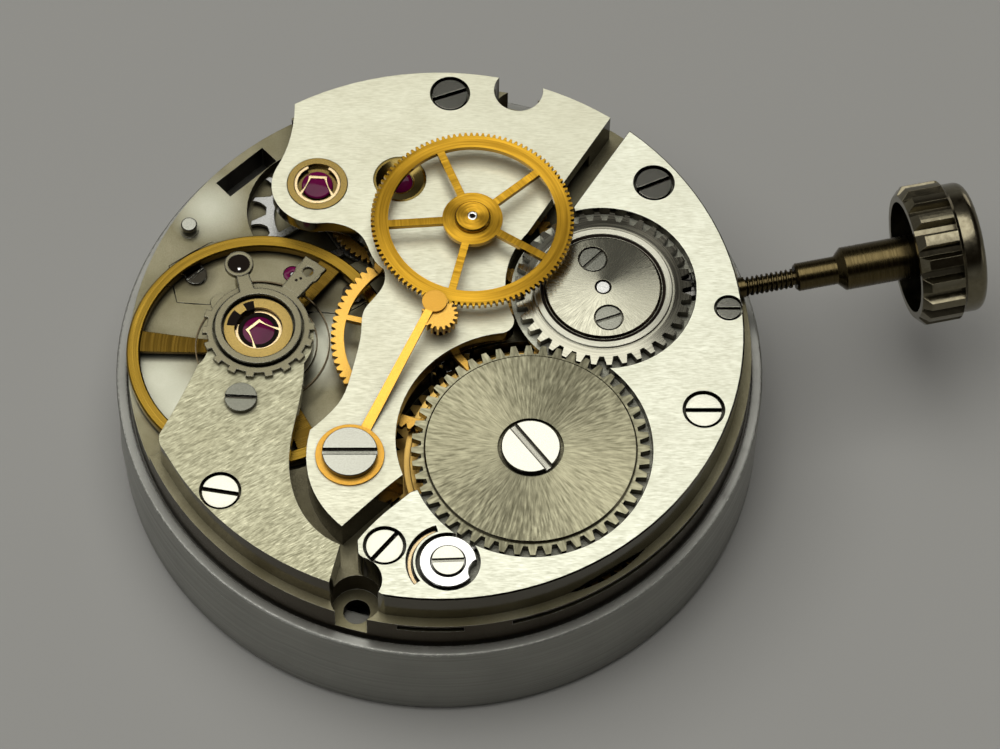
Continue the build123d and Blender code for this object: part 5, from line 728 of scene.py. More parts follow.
@dataclass(frozen=True)
class CurveSmoother:
    """Turns the flat facets of a copied CAD mesh back into curves.

    Attributes:
        step: Turn in degrees that one segment of a curve may take.
        least: Facets that meet at no more than this many degrees lie in one face.
        limit: Facets that meet at less than this many degrees belong to one curve.
        flat: Turn in degrees below which triangles are joined.
        passes: How often the segment counts of neighbouring facets are matched.
    """

    step: float = 4.0
    least: float = 0.4
    limit: float = 33.0
    flat: float = 0.25
    passes: int = 8

    def bends(self, edge: bmesh.types.BMEdge) -> float:
        """Give the turn at an edge inside a curved wall.

        Args:
            edge: The edge.

        Returns:
            The turn in degrees, or 0 elsewhere.
        """
        if not edge.is_manifold:
            return 0.0
        turn = math.degrees(edge.calc_face_angle(0.0))
        return turn if self.least < turn < self.limit else 0.0

    def next_corner(
        self, face: bmesh.types.BMFace, side: bmesh.types.BMEdge, corner: bmesh.types.BMVert
    ) -> Vector | None:
        """Find the corner that follows along a curve, across one side edge.

        Args:
            face: The facet that the curve comes from.
            side: The edge that the curve crosses.
            corner: The curve's corner on that edge.

        Returns:
            The next corner's position, or None at the curve's end.
        """
        if not self.bends(side):
            return None
        for other in side.link_faces:
            if other is face or len(other.edges) != 4:
                continue
            for edge in other.edges:
                if edge is not side and corner in edge.verts:
                    return edge.other_vert(corner).co.copy()
        return None

    def arc(
        self, before: Vector | None, start: Vector, end: Vector, after: Vector | None, count: int
    ) -> list[Vector]:
        """Give the inner points of a curve between two corners.

        Args:
            before: The corner before the start, or None.
            start: The first corner.
            end: The last corner.
            after: The corner after the end, or None.
            count: Number of segments.

        Returns:
            One point fewer than there are segments.
        """
        chord = end - start
        course = chord.normalized()
        first = last = None
        if before is not None:
            back = start - before
            first = (back / back.length_squared + chord / chord.length_squared).normalized()
        if after is not None:
            ahead = after - end
            last = (chord / chord.length_squared + ahead / ahead.length_squared).normalized()
        if first is None and last is None:
            first = last = course
        if first is None:
            first = 2 * last.dot(course) * course - last
        if last is None:
            last = 2 * first.dot(course) * course - first
        half = max(-1.0, min(1.0, first.dot(course)))
        pull = chord.length * 2.0 / (1.0 + half) if half > 0 else chord.length
        points = []
        for index in range(1, count):
            t = index / count
            points.append(
                start * (2 * t**3 - 3 * t**2 + 1)
                + first * pull * (t**3 - 2 * t**2 + t)
                + end * (3 * t**2 - 2 * t**3)
                + last * pull * (t**3 - t**2)
            )
        return points

    def plan(self, bm: bmesh.types.BMesh) -> tuple[dict, dict]:
        """Find the facets of curved walls, and how their long edges are to bend.

        Args:
            bm: The merged mesh.

        Returns:
            The two long edges of each facet, and for each such edge its segment count and
            outer neighbours.
        """
        facets, edges = {}, {}
        for face in bm.faces:
            if len(face.edges) != 4:
                continue
            loops = list(face.loops)
            choices = []
            for turn in (0, 1):
                sides = (loops[turn + 1].edge, loops[(turn + 3) % 4].edge)
                turns = max(self.bends(side) for side in sides)
                if turns:
                    chords = (loops[turn].edge, loops[turn + 2].edge)
                    longest = max(chord.calc_length() for chord in chords)
                    choices.append((longest, turns, chords, sides))
            if not choices:
                continue
            _, turns, chords, sides = max(choices, key=lambda choice: choice[0])
            count = max(1, math.ceil(turns / self.step))
            facets[face] = chords
            for chord in chords:
                ends = []
                for corner in chord.verts:
                    side = sides[0] if corner in sides[0].verts else sides[1]
                    ends.append(self.next_corner(face, side, corner))
                held = edges.get(chord)
                if held is None or count > held[0]:
                    edges[chord] = (count, *ends)
        for _ in range(self.passes):
            for chords in facets.values():
                most = max(edges[chord][0] for chord in chords)
                for chord in chords:
                    edges[chord] = (most, *edges[chord][1:])
        return facets, edges

    def run(self, bm: bmesh.types.BMesh) -> None:
        """Merge the mesh's triangles and bend its facets into curves.

        Args:
            bm: The copied mesh of a CAD node.
        """
        flat = math.radians(self.flat)
        bmesh.ops.remove_doubles(bm, verts=bm.verts, dist=MERGE_M)
        bmesh.ops.dissolve_limit(bm, angle_limit=flat, verts=bm.verts, edges=bm.edges)
        facets, edges = self.plan(bm)
        rows, moves = {}, {}
        for chord, (count, before, after) in edges.items():
            if count < 2:
                continue
            start, end = chord.verts
            points = self.arc(before, start.co.copy(), end.co.copy(), after, count)
            row = [start]
            for index, point in enumerate(points):
                _, corner = bmesh.utils.edge_split(chord, row[-1], 1.0 / (count - index))
                moves[corner] = point
                row.append(corner)
            rows[chord] = [*row, end]
        self.split(facets, rows)
        for corner, point in moves.items():
            corner.co = point

    def split(self, facets: dict, rows: dict) -> None:
        """Cut each facet of a curved wall between the matching points of its long edges.

        Args:
            facets: The two long edges of each facet.
            rows: The corners along each split edge.
        """
        for face, (low, high) in facets.items():
            if low not in rows or high not in rows:
                continue
            first, second = rows[low], rows[high]
            if len(first) != len(second):
                continue
            if not any(first[0] in edge.verts and second[0] in edge.verts for edge in face.edges):
                second = second[::-1]
            remaining = face
            for one, other in zip(first[1:-1], second[1:-1]):
                if one not in remaining.verts or other not in remaining.verts:
                    break
                made, _ = bmesh.utils.face_split(remaining, one, other)
                remaining = made if first[-1] in made.verts else remaining


@dataclass(frozen=True)
class Dress:
    """How one CAD node is shown.

    Attributes:
        node: The CAD node's name.
        finish: Its finish.
        bevel: Width of the flat bevel on its upper edges, or 0.
        bevel_from: Height from which edges are bevelled.
        rounds: Number of strips across the bevel, where more than one makes it round.
    """

    node: str
    finish: Finish
    bevel: float = 0.0
    bevel_from: float = -1.0
    rounds: int = 1


def to_mesh(bm: bmesh.types.BMesh, name: str) -> bpy.types.Mesh:
    """Write a shape into a new mesh and free it.

    Args:
        bm: The shape.
        name: The mesh's name.

    Returns:
        The new mesh.
    """
    mesh = bpy.data.meshes.new(name)
    bm.to_mesh(mesh)
    bm.free()
    return mesh


def link(name: str, data: bpy.types.ID | None) -> bpy.types.Object:
    """Put an object into the scene.

    Args:
        name: The object's name.
        data: Its mesh, lamp or camera.

    Returns:
        The new object at the origin.
    """
    made = bpy.data.objects.new(name, data)
    bpy.context.scene.collection.objects.link(made)
    return made


class Workshop:
    """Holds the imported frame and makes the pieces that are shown."""

    def __init__(self, frame: dict) -> None:
        """Read the frame's nodes, bodies and slots.
        """
        record = frame["record"]
        bodies = record["behaviour"]["bodies"]
        self.nodes: dict[str, bpy.types.Object] = frame["nodes"]
        self.body = {node: body for body, names in bodies.items() for node in names}
        self.slot = {row["node"]: row["material_slot"] for row in record["subparts"]}
        self.smoother = CurveSmoother()
        self.made: dict[str, bpy.types.Material] = {}

    def material(self, finish: Finish) -> bpy.types.Material:
        """Build a finish once.

        Args:
            finish: The finish.

        Returns:
            Its material.
        """
        if finish.name not in self.made:
            self.made[finish.name] = finish.build()
        return self.made[finish.name]

    def piece(
        self, name: str, mesh: bpy.types.Mesh, finish: Finish, node: str
    ) -> bpy.types.Object:
        """Put a finished mesh into the scene, on the body of a CAD node.

        Args:
            name: The piece's name.
            mesh: Its mesh, in place.
            finish: Its finish.
            node: The CAD node that carries it.

        Returns:
            The new object at the origin.
        """
        mesh.materials.clear()
        mesh.materials.append(self.material(finish))
        made = link(name, mesh)
        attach(made, self.body[node])
        LOG.info("%s: %d faces", made.name, len(mesh.polygons))
        return made

    def bevel(self, bm: bmesh.types.BMesh, width: float, height: float, rounds: int) -> None:
        """Cut a flat or round bevel along sharp outer edges.

        Args:
            bm: The shape.
            width: Width of the bevel.
            height: Height at or above which edges are bevelled.
            rounds: Number of strips across the bevel.
        """
        least_turn = math.radians(60.0)
        least_height = (height - 0.01) * MM
        sharp = [
            edge
            for edge in bm.edges
            if edge.is_manifold
            and edge.is_convex
            and edge.calc_face_angle(0.0) > least_turn
            and all(corner.co.z > least_height for corner in edge.verts)
        ]
        bmesh.ops.bevel(
            bm, geom=sharp, offset=width * MM, offset_type="OFFSET", segments=rounds,
            profile=0.5, affect="EDGES", clamp_overlap=True,
        )

    def show(self, dress: Dress) -> None:
        """Replace a CAD node by a copy with smooth curves, bevels and its finish.

        Args:
            dress: What to show and how.
        """
        bm = bmesh.new()
        bm.from_mesh(self.nodes[dress.node].data)
        self.smoother.run(bm)
        if dress.bevel:
            self.bevel(bm, dress.bevel, dress.bevel_from, dress.rounds)
        for face in bm.faces:
            face.smooth = True
        for edge in bm.edges:
            level = dress.rounds == 1 and any(
                abs(face.normal.z) > 0.9999 for face in edge.link_faces
            )
            turn = edge.calc_face_angle(0.0) if edge.is_manifold else 1.0
            edge.smooth = turn < (math.radians(1.0) if level else SHARP_TURN)
        name = f"{dress.node}_shown"
        shown = self.piece(name, to_mesh(bm, name), dress.finish, dress.node)
        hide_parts(dress.node)


@dataclass(frozen=True)
class TurnedPiece:
    """A small turned part: a closed profile spun about an upright axis.

    Attributes:
        name: The piece's name.
        node: The CAD node that carries it.
        finish: Its finish.
        centre: Plan place of its axis.
        profile: Radius and height of each corner of the profile.
        start: Angle at which the turn starts, in degrees.
        sweep: Angle of the turn, in degrees.
        step: Angle of one facet, in degrees.
    """

    name: str
    node: str
    finish: Finish
    centre: Place
    profile: Profile
    start: float = 0.0
    sweep: float = 360.0
    step: float = 5.0

    def build(self, shop: Workshop) -> None:
        """Spin the profile and set the piece on its carrier.

        Args:
            shop: The workshop.
        """
        bm = bmesh.new()
        x, y = self.centre
        turn = math.radians(self.start)
        corners = [
            bm.verts.new(
                (
                    (x + radius * math.cos(turn)) * MM,
                    (y + radius * math.sin(turn)) * MM,
                    height * MM,
                )
            )
            for radius, height in (*self.profile, self.profile[0])
        ]
        edges = [bm.edges.new(pair) for pair in zip(corners, corners[1:])]
        whole = self.sweep >= 360.0
        bmesh.ops.spin(
            bm, geom=corners + edges, cent=(x * MM, y * MM, 0.0), axis=(0.0, 0.0, 1.0),
            angle=math.radians(self.sweep), steps=max(2, round(self.sweep / self.step)),
            use_merge=whole,
        )
        bmesh.ops.remove_doubles(bm, verts=bm.verts, dist=MERGE_M)
        if not whole:
            rims = [edge for edge in bm.edges if edge.is_boundary]
            bmesh.ops.edgeloop_fill(bm, edges=rims)
        bmesh.ops.recalc_face_normals(bm, faces=bm.faces)
        for face in bm.faces:
            face.smooth = True
        for edge in bm.edges:
            edge.smooth = not edge.is_manifold or edge.calc_face_angle(0.0) < SHARP_TURN
        shop.piece(self.name, to_mesh(bm, self.name), self.finish, self.node)


@dataclass(frozen=True)
class RegulatorTail:
    """The square tail of the regulator's arm, with its hole and two punch marks.

    Attributes:
        end: Plan place of the hole in the tail.
        low: Height of its lower face.
        high: Height of its upper face.
        half_width: Half the tail's width at its end.
        reach: How far the tail runs past the hole.
        hole: Radius of the hole.
        facets: Number of facets round the hole.
        mark: Radius of a punch mark.
    """

    end: Place = (-4.3845, 3.3417)
    low: float = 7.61
    high: float = 7.785
    half_width: float = 0.5
    reach: float = 0.5
    hole: float = 0.2
    facets: int = 32
    mark: float = 0.055

    def axes(self) -> tuple[Vector, Vector, Vector]:
        """Give the tail's place and its two level directions.

        Returns:
            The hole's place, the direction away from the balance, and the one to its left.
        """
        end = Vector((*self.end, 0.0))
        along = (end - Vector((*BALANCE, 0.0))).normalized()
        return end, along, Vector((-along.y, along.x, 0.0))

    def marks(self) -> tuple[TurnedPiece, ...]:
        """Give the painted shade of the two punch marks as small dark discs.

        Returns:
            The discs.
        """
        end, along, side = self.axes()
        floor, top = self.high - 0.01, self.high + 0.003
        disc = ((0.0, floor), (0.0, top), (self.mark, top), (self.mark, floor))
        made = []
        for name, run, shift in (
            ("punch_mark_outer", -0.42, 0.03),
            ("punch_mark_inner", -0.58, 0.12),
        ):
            spot = end + along * run + side * shift
            # Painted shade in the punch marks.
            made.append(TurnedPiece(name, "regulator", LOOK.painted_shade, (spot.x, spot.y), disc))
        return tuple(made)

    def build(self, shop: Workshop) -> None:
        """Cut the tail and set it on the regulator's arm.

        Args:
            shop: The workshop.
        """
        end, along, side = self.axes()
        half = ((-1.1, 0.8), (-0.2, 0.86), (self.reach, 1.0))
        shape = (*half, *((run, -share) for run, share in half[::-1]))
        outer = [end + along * run + side * share * self.half_width for run, share in shape]
        ring = [
            end + (along * math.cos(turn) + side * math.sin(turn)) * self.hole
            for turn in (math.tau * step / self.facets for step in range(self.facets))
        ]
        bm = bmesh.new()
        loops = []
        for points in (outer, ring):
            corners = [bm.verts.new((spot.x * MM, spot.y * MM, self.low * MM)) for spot in points]
            loops += [bm.edges.new(pair) for pair in zip(corners, corners[1:] + corners[:1])]
        bmesh.ops.triangle_fill(bm, edges=loops, use_beauty=True)
        grown = bmesh.ops.extrude_face_region(bm, geom=bm.faces[:])
        raised = [item for item in grown["geom"] if isinstance(item, bmesh.types.BMVert)]
        bmesh.ops.translate(bm, verts=raised, vec=(0.0, 0.0, (self.high - self.low) * MM))
        bmesh.ops.recalc_face_normals(bm, faces=bm.faces)
        shop.bevel(bm, 0.03, self.high, 1)
        name = "regulator_tail"
        shop.piece(name, to_mesh(bm, name), LOOK.regulator, "regulator")


@dataclass(frozen=True)
class StemThread:
    """The fine thread on the stem's bare neck, wound by Geometry Nodes.

    Attributes:
        start: Where the thread begins on the stem, from the movement's axis.
        height: Height of the stem's axis.
        length: Length of the threaded neck.
        pitch: Distance between two turns.
        root: Radius of the neck.
        crest: Radius of the thread's crest.
        segments: Segments in one turn.
    """

    start: float = 11.95
    height: float = 6.4
    length: float = 1.9
    pitch: float = 0.19
    root: float = 0.285
    crest: float = 0.385
    segments: int = 20

    def sizes(self) -> dict[str, float]:
        """Give the size for each input of the node tree.

        Returns:
            The sizes by the inputs' names, with lengths in metres.
        """
        return {
            "Turns": self.length / self.pitch,
            "Radius": (self.root + self.crest) / 2 * MM,
            "Length": self.length * MM,
            "Wire": (self.crest - self.root) / 2 * MM,
        }

    def tree(self, material: bpy.types.Material) -> bpy.types.NodeTree:
        """Build the node tree of a helical rib.

        Args:
            material: The material that the rib takes.

        Returns:
            The tree, with an input for each size.
        """
        tree = bpy.data.node_groups.new("helical rib", "GeometryNodeTree")
        faces = tree.interface
        for name in self.sizes():
            faces.new_socket(name, in_out="INPUT", socket_type="NodeSocketFloat")
        faces.new_socket("Geometry", in_out="OUTPUT", socket_type="NodeSocketGeometry")
        board = Board(tree)
        size = board.add("NodeGroupInput").outputs
        spiral = board.join(
            board.add("GeometryNodeCurveSpiral"),
            {
                "Resolution": self.segments,
                "Rotations": size["Turns"],
                "Start Radius": size["Radius"],
                "End Radius": size["Radius"],
                "Height": size["Length"],
            },
        )
        wire = board.join(
            board.add("GeometryNodeCurvePrimitiveCircle"),
            {"Resolution": 4, "Radius": size["Wire"]},
        )
        rib = board.join(
            board.add("GeometryNodeCurveToMesh", spiral),
            {"Profile Curve": wire, "Fill Caps": True},
        )
        real = board.add("GeometryNodeRealizeInstances", rib)
        painted = board.join(
            board.add("GeometryNodeSetMaterial", real.outputs[0]), {"Material": material}
        )
        board.add("NodeGroupOutput", painted)
        return tree

    def build(self, shop: Workshop) -> None:
        """Wind the thread and set it on the stem.

        Args:
            shop: The workshop.
        """
        tree = self.tree(shop.material(LOOK.stem))
        carrier = link("thread_maker", bpy.data.meshes.new("thread_maker"))
        modifier = carrier.modifiers.new("thread", "NODES")
        modifier.node_group = tree
        sizes = self.sizes()
        for item in tree.interface.items_tree:
            if item.in_out == "INPUT":
                modifier[item.identifier] = float(sizes[item.name])
        shown = carrier.evaluated_get(bpy.context.evaluated_depsgraph_get())
        mesh = bpy.data.meshes.new_from_object(shown)
        bpy.data.objects.remove(carrier)
        mesh.transform(Matrix.Rotation(math.pi / 2, 4, "Y"))
        mesh.transform(Matrix.Translation((self.start * MM, 0.0, self.height * MM)))
        shop.piece("stem_thread", mesh, LOOK.stem, "winding_stem")


class SubAssembly:
    """A group of pieces that are built together."""

    def dresses(self) -> tuple[Dress, ...]:
        """Give the group's CAD nodes and how each is shown."""
        return ()

    def added(self) -> tuple[TurnedPiece | RegulatorTail | StemThread, ...]:
        """Give the small pieces that the solids leave to the scene."""
        return ()

    def build(self, shop: Workshop) -> None:
        """Build every piece of the group.

        Args:
            shop: The workshop.
        """
        for dress in self.dresses():
            shop.show(dress)
        for piece in self.added():
            piece.build(shop)


@dataclass(frozen=True)
class Framework(SubAssembly):
    """The holder, the plate, the bridges, their screws and their jewels.

    Attributes:
        top: Height from which the bridges' edges are bevelled.
        train_bevel: Bevel of the train bridge.
        barrel_bevel: Bevel of the barrel bridge.
        cock_bevel: Bevel of the balance cock.
        screw_bevel: Bevel of the screw heads.
        jewel_bevel: Width of the jewels' round edges.
        jewel_low: Height from which the jewels' edges are rounded.
        jewel_rounds: Strips across a jewel's round edge.
        chaton: Profile of the countersunk ring of the fourth jewel.
        jewel: Profile of the fourth jewel.
        pin_place: Plan place of the loose pin on the plate.
        pin: The pin's profile.
    """

    top: float = 7.6
    train_bevel: float = 0.10
    barrel_bevel: float = 0.06
    cock_bevel: float = 0.09
    screw_bevel: float = 0.04
    jewel_bevel: float = 0.07
    jewel_low: float = 4.0
    jewel_rounds: int = 4
    chaton: Profile = (
        (0.5, 7.385), (0.5, 7.41), (0.56, 7.41), (0.92, 7.575), (1.015, 7.575), (1.015, 7.385),
    )
    jewel: Profile = (
        (0.0, 7.385), (0.0, 7.40), (0.12, 7.405), (0.2, 7.43), (0.34, 7.45), (0.45, 7.43),
        (0.49, 7.385),
    )
    pin_place: Place = (-8.307, 7.347)
    pin: Profile = ((0.0, 6.14), (0.0, 6.165), (0.27, 6.165), (0.31, 6.135), (0.31, 6.0))

    def dresses(self) -> tuple[Dress, ...]:
        """Give the group's CAD nodes and how each is shown.

        Returns:
            One dress for each node.
        """
        jewel_edge = (self.jewel_bevel, self.jewel_low, self.jewel_rounds)
        return (
            Dress("holder_ring", LOOK.holder),
            Dress("main_plate", LOOK.plate),
            Dress("pallet_bridge", LOOK.plate),
            Dress("train_bridge", LOOK.bridge, self.train_bevel, self.top),
            Dress("barrel_bridge", LOOK.barrel_bridge, self.barrel_bevel, self.top),
            Dress("balance_cock", LOOK.cock, self.cock_bevel, self.top),
            Dress("bridge_screws", LOOK.screw, self.screw_bevel, self.top - 0.1),
            Dress("cock_clamp_screw", LOOK.clamp_screw, self.screw_bevel, self.top),
            Dress("pallet_bridge_screws", LOOK.shaded_screw),
            Dress("train_jewels", LOOK.ruby, *jewel_edge),
        )

    def added(self) -> tuple[TurnedPiece, ...]:
        """Give the small pieces that the solids leave to the scene.

        Returns:
            The pieces.
        """
        plate, pin = self.pin_place, self.pin
        return (
            TurnedPiece("fourth_chaton", "train_bridge", LOOK.chaton, FOURTH, self.chaton),
            TurnedPiece("fourth_jewel", "train_jewels", LOOK.ruby, FOURTH, self.jewel),
            TurnedPiece("free_pin", "main_plate", LOOK.satin_screw, plate, pin),
        )


@dataclass(frozen=True)
class WindingWork(SubAssembly):
    """The barrel with its ratchet wheel, the crown wheel and the click.

    Attributes:
        screw_edge: Bevel of the ratchet screw's head, and the height from which it is cut.
        core_edge: The same for the crown wheel's core.
        click_edge: The same for the click.
        click_screw_edge: The same for the click screw's head.
        gap: Profile of the dark ring of painted shade in the gap round the core.
        collar: Profile of the collar round the gap.
        pin: Profile of the pin in the core.
    """

    screw_edge: tuple[float, float] = (0.04, 7.7)
    core_edge: tuple[float, float] = (0.11, 7.55)
    click_edge: tuple[float, float] = (0.05, 7.6)
    click_screw_edge: tuple[float, float] = (0.03, 7.6)
    gap: Profile = ((2.26, 7.53), (2.26, 7.556), (2.37, 7.556), (2.37, 7.53))
    collar: Profile = (
        (2.36, 7.5), (2.36, 7.575), (2.39, 7.6), (2.6, 7.6), (2.64, 7.57), (2.66, 7.5),
    )
    pin: Profile = ((0.0, 7.3), (0.0, 7.61), (0.24, 7.61), (0.275, 7.58), (0.275, 7.3))

    def dresses(self) -> tuple[Dress, ...]:
        """Give the group's CAD nodes and how each is shown.

        Returns:
            One dress for each node.
        """
        return (
            Dress("barrel_drum", LOOK.brass),
            Dress("barrel_cover", LOOK.brass),
            Dress("mainspring", LOOK.spring),
            Dress("barrel_arbor", LOOK.polished),
            Dress("ratchet_wheel", LOOK.ratchet),
            Dress("ratchet_screw", LOOK.screw, *self.screw_edge),
            Dress("crown_wheel", LOOK.crown_wheel),
            Dress("crown_wheel_core", LOOK.core, *self.core_edge),
            Dress("crown_wheel_screws", LOOK.dull_screw),
            Dress("click", LOOK.polished, *self.click_edge),
            Dress("click_screw", LOOK.screw, *self.click_screw_edge),
            Dress("click_spring", LOOK.lyre),
        )

    def added(self) -> tuple[TurnedPiece, ...]:
        """Give the small pieces that the solids leave to the scene.

        Returns:
            The pieces.
        """
        wheel, core = "crown_wheel", "crown_wheel_core"
        return (
            # Painted shade in the gap round the core.
            TurnedPiece("crown_gap", wheel, LOOK.painted_shade, CROWN_WHEEL, self.gap),
            TurnedPiece("crown_collar", wheel, LOOK.collar, CROWN_WHEEL, self.collar),
            TurnedPiece("core_pin", core, LOOK.polished, CROWN_WHEEL, self.pin),
        )


@dataclass(frozen=True)
class GoingTrain(SubAssembly):
    """The wheels from the centre to the escape wheel, the seconds work and the motion work.

    Attributes:
        screw_edge: Bevel of the seconds spring's screw, and the height from which it is cut.
        centre: Profile of the bright ring at the driving wheel's centre.
        dimple: Profile of the dark disc of painted shade in its dimple.
    """

    screw_edge: tuple[float, float] = (0.05, 7.9)
    centre: Profile = (
        (0.09, 8.69), (0.09, 8.705), (0.12, 8.715), (0.16, 8.715), (0.19, 8.705), (0.19, 8.69),
    )
    dimple: Profile = ((0.0, 8.69), (0.0, 8.703), (0.095, 8.703), (0.095, 8.69))

    def dresses(self) -> tuple[Dress, ...]:
        """Give the group's CAD nodes and how each is shown.

        Returns:
            One dress for each node.
        """
        return (
            Dress("center_wheel", LOOK.gilt),
            Dress("center_arbor", LOOK.polished),
            Dress("third_wheel", LOOK.gilt),
            Dress("third_pinion", LOOK.polished),
            Dress("seconds_driving_wheel", LOOK.driving),
            Dress("fourth_wheel", LOOK.gilt),
            Dress("fourth_pinion", LOOK.polished),
            Dress("escape_wheel", LOOK.keyless),
            Dress("escape_pinion", LOOK.polished),
            Dress("seconds_pinion", LOOK.gilt),
            Dress("seconds_spring", LOOK.blade),
            Dress("seconds_spring_screw", LOOK.satin_screw, *self.screw_edge),
            Dress("cannon_pinion", LOOK.polished),
            Dress("minute_wheel", LOOK.brass),
            Dress("hour_wheel", LOOK.brass),
        )

    def added(self) -> tuple[TurnedPiece, ...]:
        """Give the small pieces that the solids leave to the scene.

        Returns:
            The pieces.
        """
        wheel = "seconds_driving_wheel"
        return (
            TurnedPiece("driving_centre", wheel, LOOK.polished, THIRD, self.centre),
            # Painted shade in the dimple.
            TurnedPiece("driving_dimple", wheel, LOOK.painted_shade, THIRD, self.dimple),
        )


@dataclass(frozen=True)
class Escapement(SubAssembly):
    """The pallet fork, the balance, its settings and its regulator.

    Attributes:
        jewel_edge: Width of the cap jewels' round edges, the height from which they are
            rounded, and the strips across them.
        regulator_edge: Bevel of the regulator, and the height from which it is cut.
        carrier_edge: The same for the stud carrier.
        cup_place: Plan place of the cup at the stud carrier's end.
        cup: Profile of the cup's ring.
        cup_floor: Profile of the dark disc of painted shade on the cup's floor.
        tip_shift: The hairspring stud's tip, from the cup's middle.
        tip: Profile of the tip.
        shade: Profile of the ring of painted shade in the upper setting.
        notch: Profile of the dark pieces of painted shade in the upper setting's notches.
        wide_notch: Where the wide notch starts and how far it turns, in degrees.
        narrow_notch: The same for the narrow notch.
        tail: The square tail of the regulator.
    """

    jewel_edge: tuple[float, float, int] = (0.14, 4.0, 5)
    regulator_edge: tuple[float, float] = (0.035, 7.7)
    carrier_edge: tuple[float, float] = (0.05, 7.9)
    cup_place: Place = (-6.897, 4.1)
    cup: Profile = (
        (0.4, 7.8), (0.4, 7.99), (0.43, 8.0), (0.52, 8.0), (0.55, 7.98), (0.55, 7.8),
    )
    cup_floor: Profile = ((0.0, 7.95), (0.0, 7.968), (0.405, 7.968), (0.405, 7.95))
    tip_shift: Place = (-0.03, -0.22)
    tip: Profile = ((0.0, 7.96), (0.0, 8.0), (0.06, 7.995), (0.09, 7.96))
    shade: Profile = ((0.6, 7.56), (0.6, 7.575), (0.66, 7.585), (0.745, 7.585), (0.745, 7.56))
    notch: Profile = ((0.84, 7.7), (0.84, 7.766), (1.2, 7.766), (1.2, 7.7))
    wide_notch: tuple[float, float] = (128.0, 34.0)
    narrow_notch: tuple[float, float] = (88.0, 20.0)
    tail: RegulatorTail = RegulatorTail()

    def dresses(self) -> tuple[Dress, ...]:
        """Give the group's CAD nodes and how each is shown.

        Returns:
            One dress for each node.
        """
        return (
            Dress("pallet_fork", LOOK.keyless),
            Dress("pallet_jewels", LOOK.ruby),
            Dress("balance_wheel", LOOK.balance),
            Dress("balance_staff", LOOK.polished),
            Dress("roller_table", LOOK.polished),
            Dress("hairspring", LOOK.spring),
            Dress("jewel_settings", LOOK.setting),
            Dress("cap_jewels", LOOK.ruby, *self.jewel_edge),
            Dress("jewel_springs", LOOK.lyre),
            Dress("regulator", LOOK.regulator, *self.regulator_edge),
            Dress("stud_carrier", LOOK.regulator, *self.carrier_edge),
        )

    def added(self) -> tuple[TurnedPiece | RegulatorTail, ...]:
        """Give the small pieces that the solids leave to the scene.

        Returns:
            The pieces.
        """
        stud, cup = "stud_carrier", self.cup_place
        tip = (cup[0] + self.tip_shift[0], cup[1] + self.tip_shift[1])
        setting = ("jewel_settings", LOOK.painted_shade, BALANCE)
        return (
            TurnedPiece("stud_cup_ring", stud, LOOK.regulator, cup, self.cup),
            # Painted shade on the cup's floor.
            TurnedPiece("stud_cup_floor", stud, LOOK.painted_shade, cup, self.cup_floor),
            TurnedPiece("stud_tip", stud, LOOK.polished, tip, self.tip),
            # Painted shade: a dark ring and the dark notches in the upper setting.
            TurnedPiece("setting_shade", *setting, self.shade),
            TurnedPiece("setting_notch_wide", *setting, self.notch, *self.wide_notch),
            TurnedPiece("setting_notch_narrow", *setting, self.notch, *self.narrow_notch),
            self.tail,
            *self.tail.marks(),
        )


@dataclass(frozen=True)
class KeylessWork(SubAssembly):
    """The stem, the crown and the levers that set the hands.

    Attributes:
        thread: The thread on the stem.
    """

    thread: StemThread = StemThread()

    def dresses(self) -> tuple[Dress, ...]:
        """Give the group's CAD nodes and how each is shown.

        Returns:
            One dress for each node.
        """
        steel = (
            "setting_jumper", "yoke_spring", "setting_wheel", "sliding_pinion",
            "winding_pinion", "setting_lever", "yoke",
        )
        return (
            *(Dress(node, LOOK.keyless) for node in steel),
            Dress("setting_lever_screw", LOOK.screw),
            Dress("setting_jumper_screw", LOOK.screw),
            Dress("crown_gasket", LOOK.rubber),
            Dress("winding_stem", LOOK.stem),
            Dress("crown", LOOK.crown),
        )

    def added(self) -> tuple[StemThread, ...]:
        """Give the small pieces that the solids leave to the scene."""
        return (self.thread,)


@dataclass(frozen=True)
class Lamp:
    """A soft round lamp, aimed at the movement.

    Attributes:
        name: The lamp's name.
        place: Where it hangs.
        size: Its diameter.
        watts: Its strength.
        colour: Its colour.
    """

    name: str
    place: tuple[float, float, float]
    size: float
    watts: float
    colour: Colour

    def hang(self) -> None:
        """Hang the lamp."""
        data = bpy.data.lights.new(self.name, "AREA")
        data.shape = "DISK"
        data.size = self.size * MM
        data.energy = self.watts
        data.color = self.colour
        lamp = link(self.name, data)
        lamp.location = Vector(self.place) * MM
        lamp.rotation_euler = (-lamp.location).to_track_quat("-Z", "Y").to_euler()


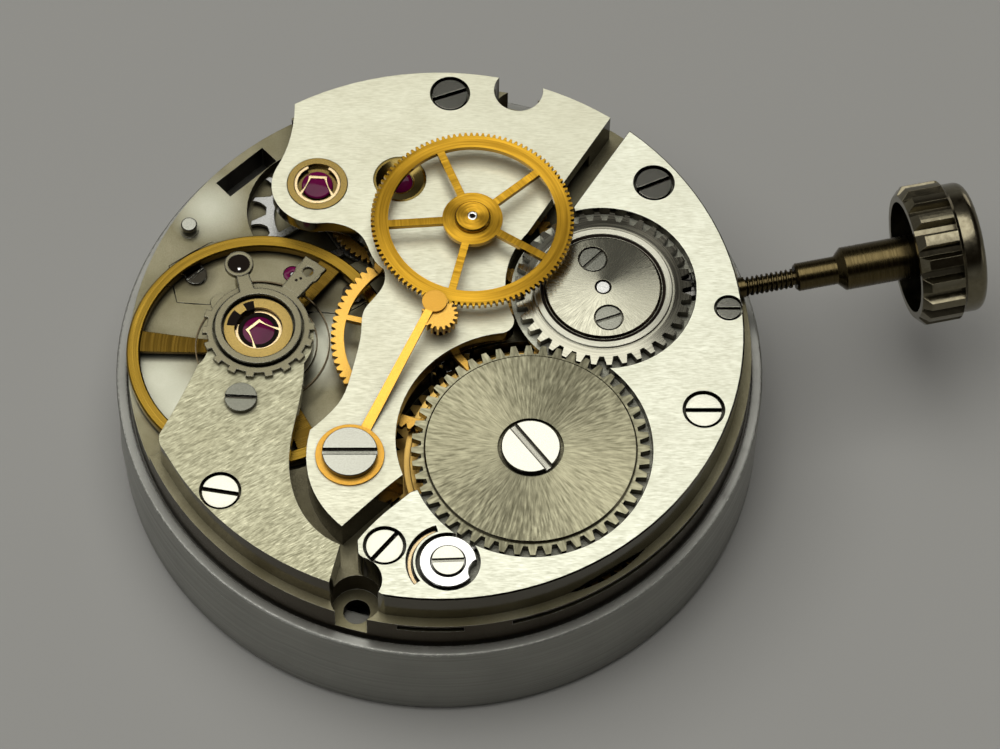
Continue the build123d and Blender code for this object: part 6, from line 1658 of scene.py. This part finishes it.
@dataclass(frozen=True)
class Studio:
    """The table, the lamps, the sky and the camera.

    Attributes:
        camera_place: The camera's place.
        camera_axes: The camera's right, up and back directions, as a matrix's rows.
        focal: Focal length of the lens.
        sensor: Width of the camera's sensor.
        lamps: The soft lamps.
        glow: Direction in which the sky is palest.
        dark: The sky's darkest colour.
        pale: Its colour in the direction of the glow.
        horizon: Its colour along the horizon.
        table_half_m: Half the table's width, in metres.
    """

    camera_place: tuple[float, float, float] = (-17.668, -82.217, 151.357)
    camera_axes: tuple[tuple[float, float, float], ...] = (
        (0.97637, 0.18137, -0.11748),
        (-0.21574, 0.84936, -0.4817),
        (0.01241, 0.49567, 0.86842),
    )
    focal: float = 159.118
    sensor: float = 36.0
    lamps: tuple[Lamp, ...] = (
        Lamp("key", (-94.0, 45.0, 591.0), 707.0, 3.2, (1.0, 0.99, 0.96)),
        Lamp("fill", (-420.0, -380.0, 120.0), 260.0, 0.16, (0.95, 0.97, 1.0)),
        Lamp("back", (330.0, 420.0, 130.0), 260.0, 0.2, (1.0, 0.97, 0.93)),
        Lamp("side", (520.0, -200.0, 110.0), 180.0, 0.03, (1.0, 0.95, 0.88)),
    )
    glow: tuple[float, float, float] = (-0.42, 0.15, 0.895)
    dark: Colour = (0.02, 0.016, 0.012)
    pale: Colour = (0.30, 0.30, 0.30)
    horizon: Colour = (0.24, 0.24, 0.235)
    table_half_m: float = 1.5

    def camera(self) -> None:
        """Set up the photograph's camera."""
        data = bpy.data.cameras.new("photo_camera")
        data.lens = self.focal
        data.sensor_width = self.sensor
        data.clip_start = 0.001
        data.clip_end = 20.0
        camera = link("photo_camera", data)
        turn = Matrix(self.camera_axes).to_4x4()
        camera.matrix_world = Matrix.Translation(Vector(self.camera_place) * MM) @ turn
        bpy.context.scene.camera = camera

    def sky(self) -> None:
        """Build the soft surroundings: pale above and along the horizon, darker between."""
        world = bpy.data.worlds.new("studio")
        bpy.context.scene.world = world
        world.use_nodes = True
        board = Board(world.node_tree)
        view = board.add("ShaderNodeTexCoord").outputs["Generated"]
        lean = board.vector("DOT_PRODUCT", view, self.glow)
        shade = board.blend(board.spread(lean, 0.0, 1.0, 0.5, 1.0), self.dark, self.pale)
        near = board.spread(board.split(view)[2], 1.0, 0.0, 0.14, 0.42)
        colour = board.blend(near, shade, self.horizon)
        background = board.add("ShaderNodeBackground", colour)
        board.add("ShaderNodeOutputWorld", background.outputs[0])

    def floor(self) -> None:
        """Lay the table under the holder's foot."""
        bm = bmesh.new()
        bmesh.ops.create_grid(bm, x_segments=8, y_segments=8, size=self.table_half_m)
        mesh = to_mesh(bm, "table")
        mesh.materials.append(LOOK.table.build())
        link("table", mesh)

    def build(self) -> None:
        """Set the whole stage."""
        self.camera()
        for lamp in self.lamps:
            lamp.hang()
        self.sky()
        self.floor()
        bpy.context.scene.view_settings.view_transform = "Standard"


def main() -> None:
    """Build the scene: the frame, each sub-assembly, then the stage."""
    logging.basicConfig(level=logging.INFO, format="%(message)s")
    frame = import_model()
    shop = Workshop(frame)
    for group in (Framework(), WindingWork(), GoingTrain(), Escapement(), KeylessWork()):
        group.build(shop)
    Studio().build()


if __name__ == "__main__":
    main()
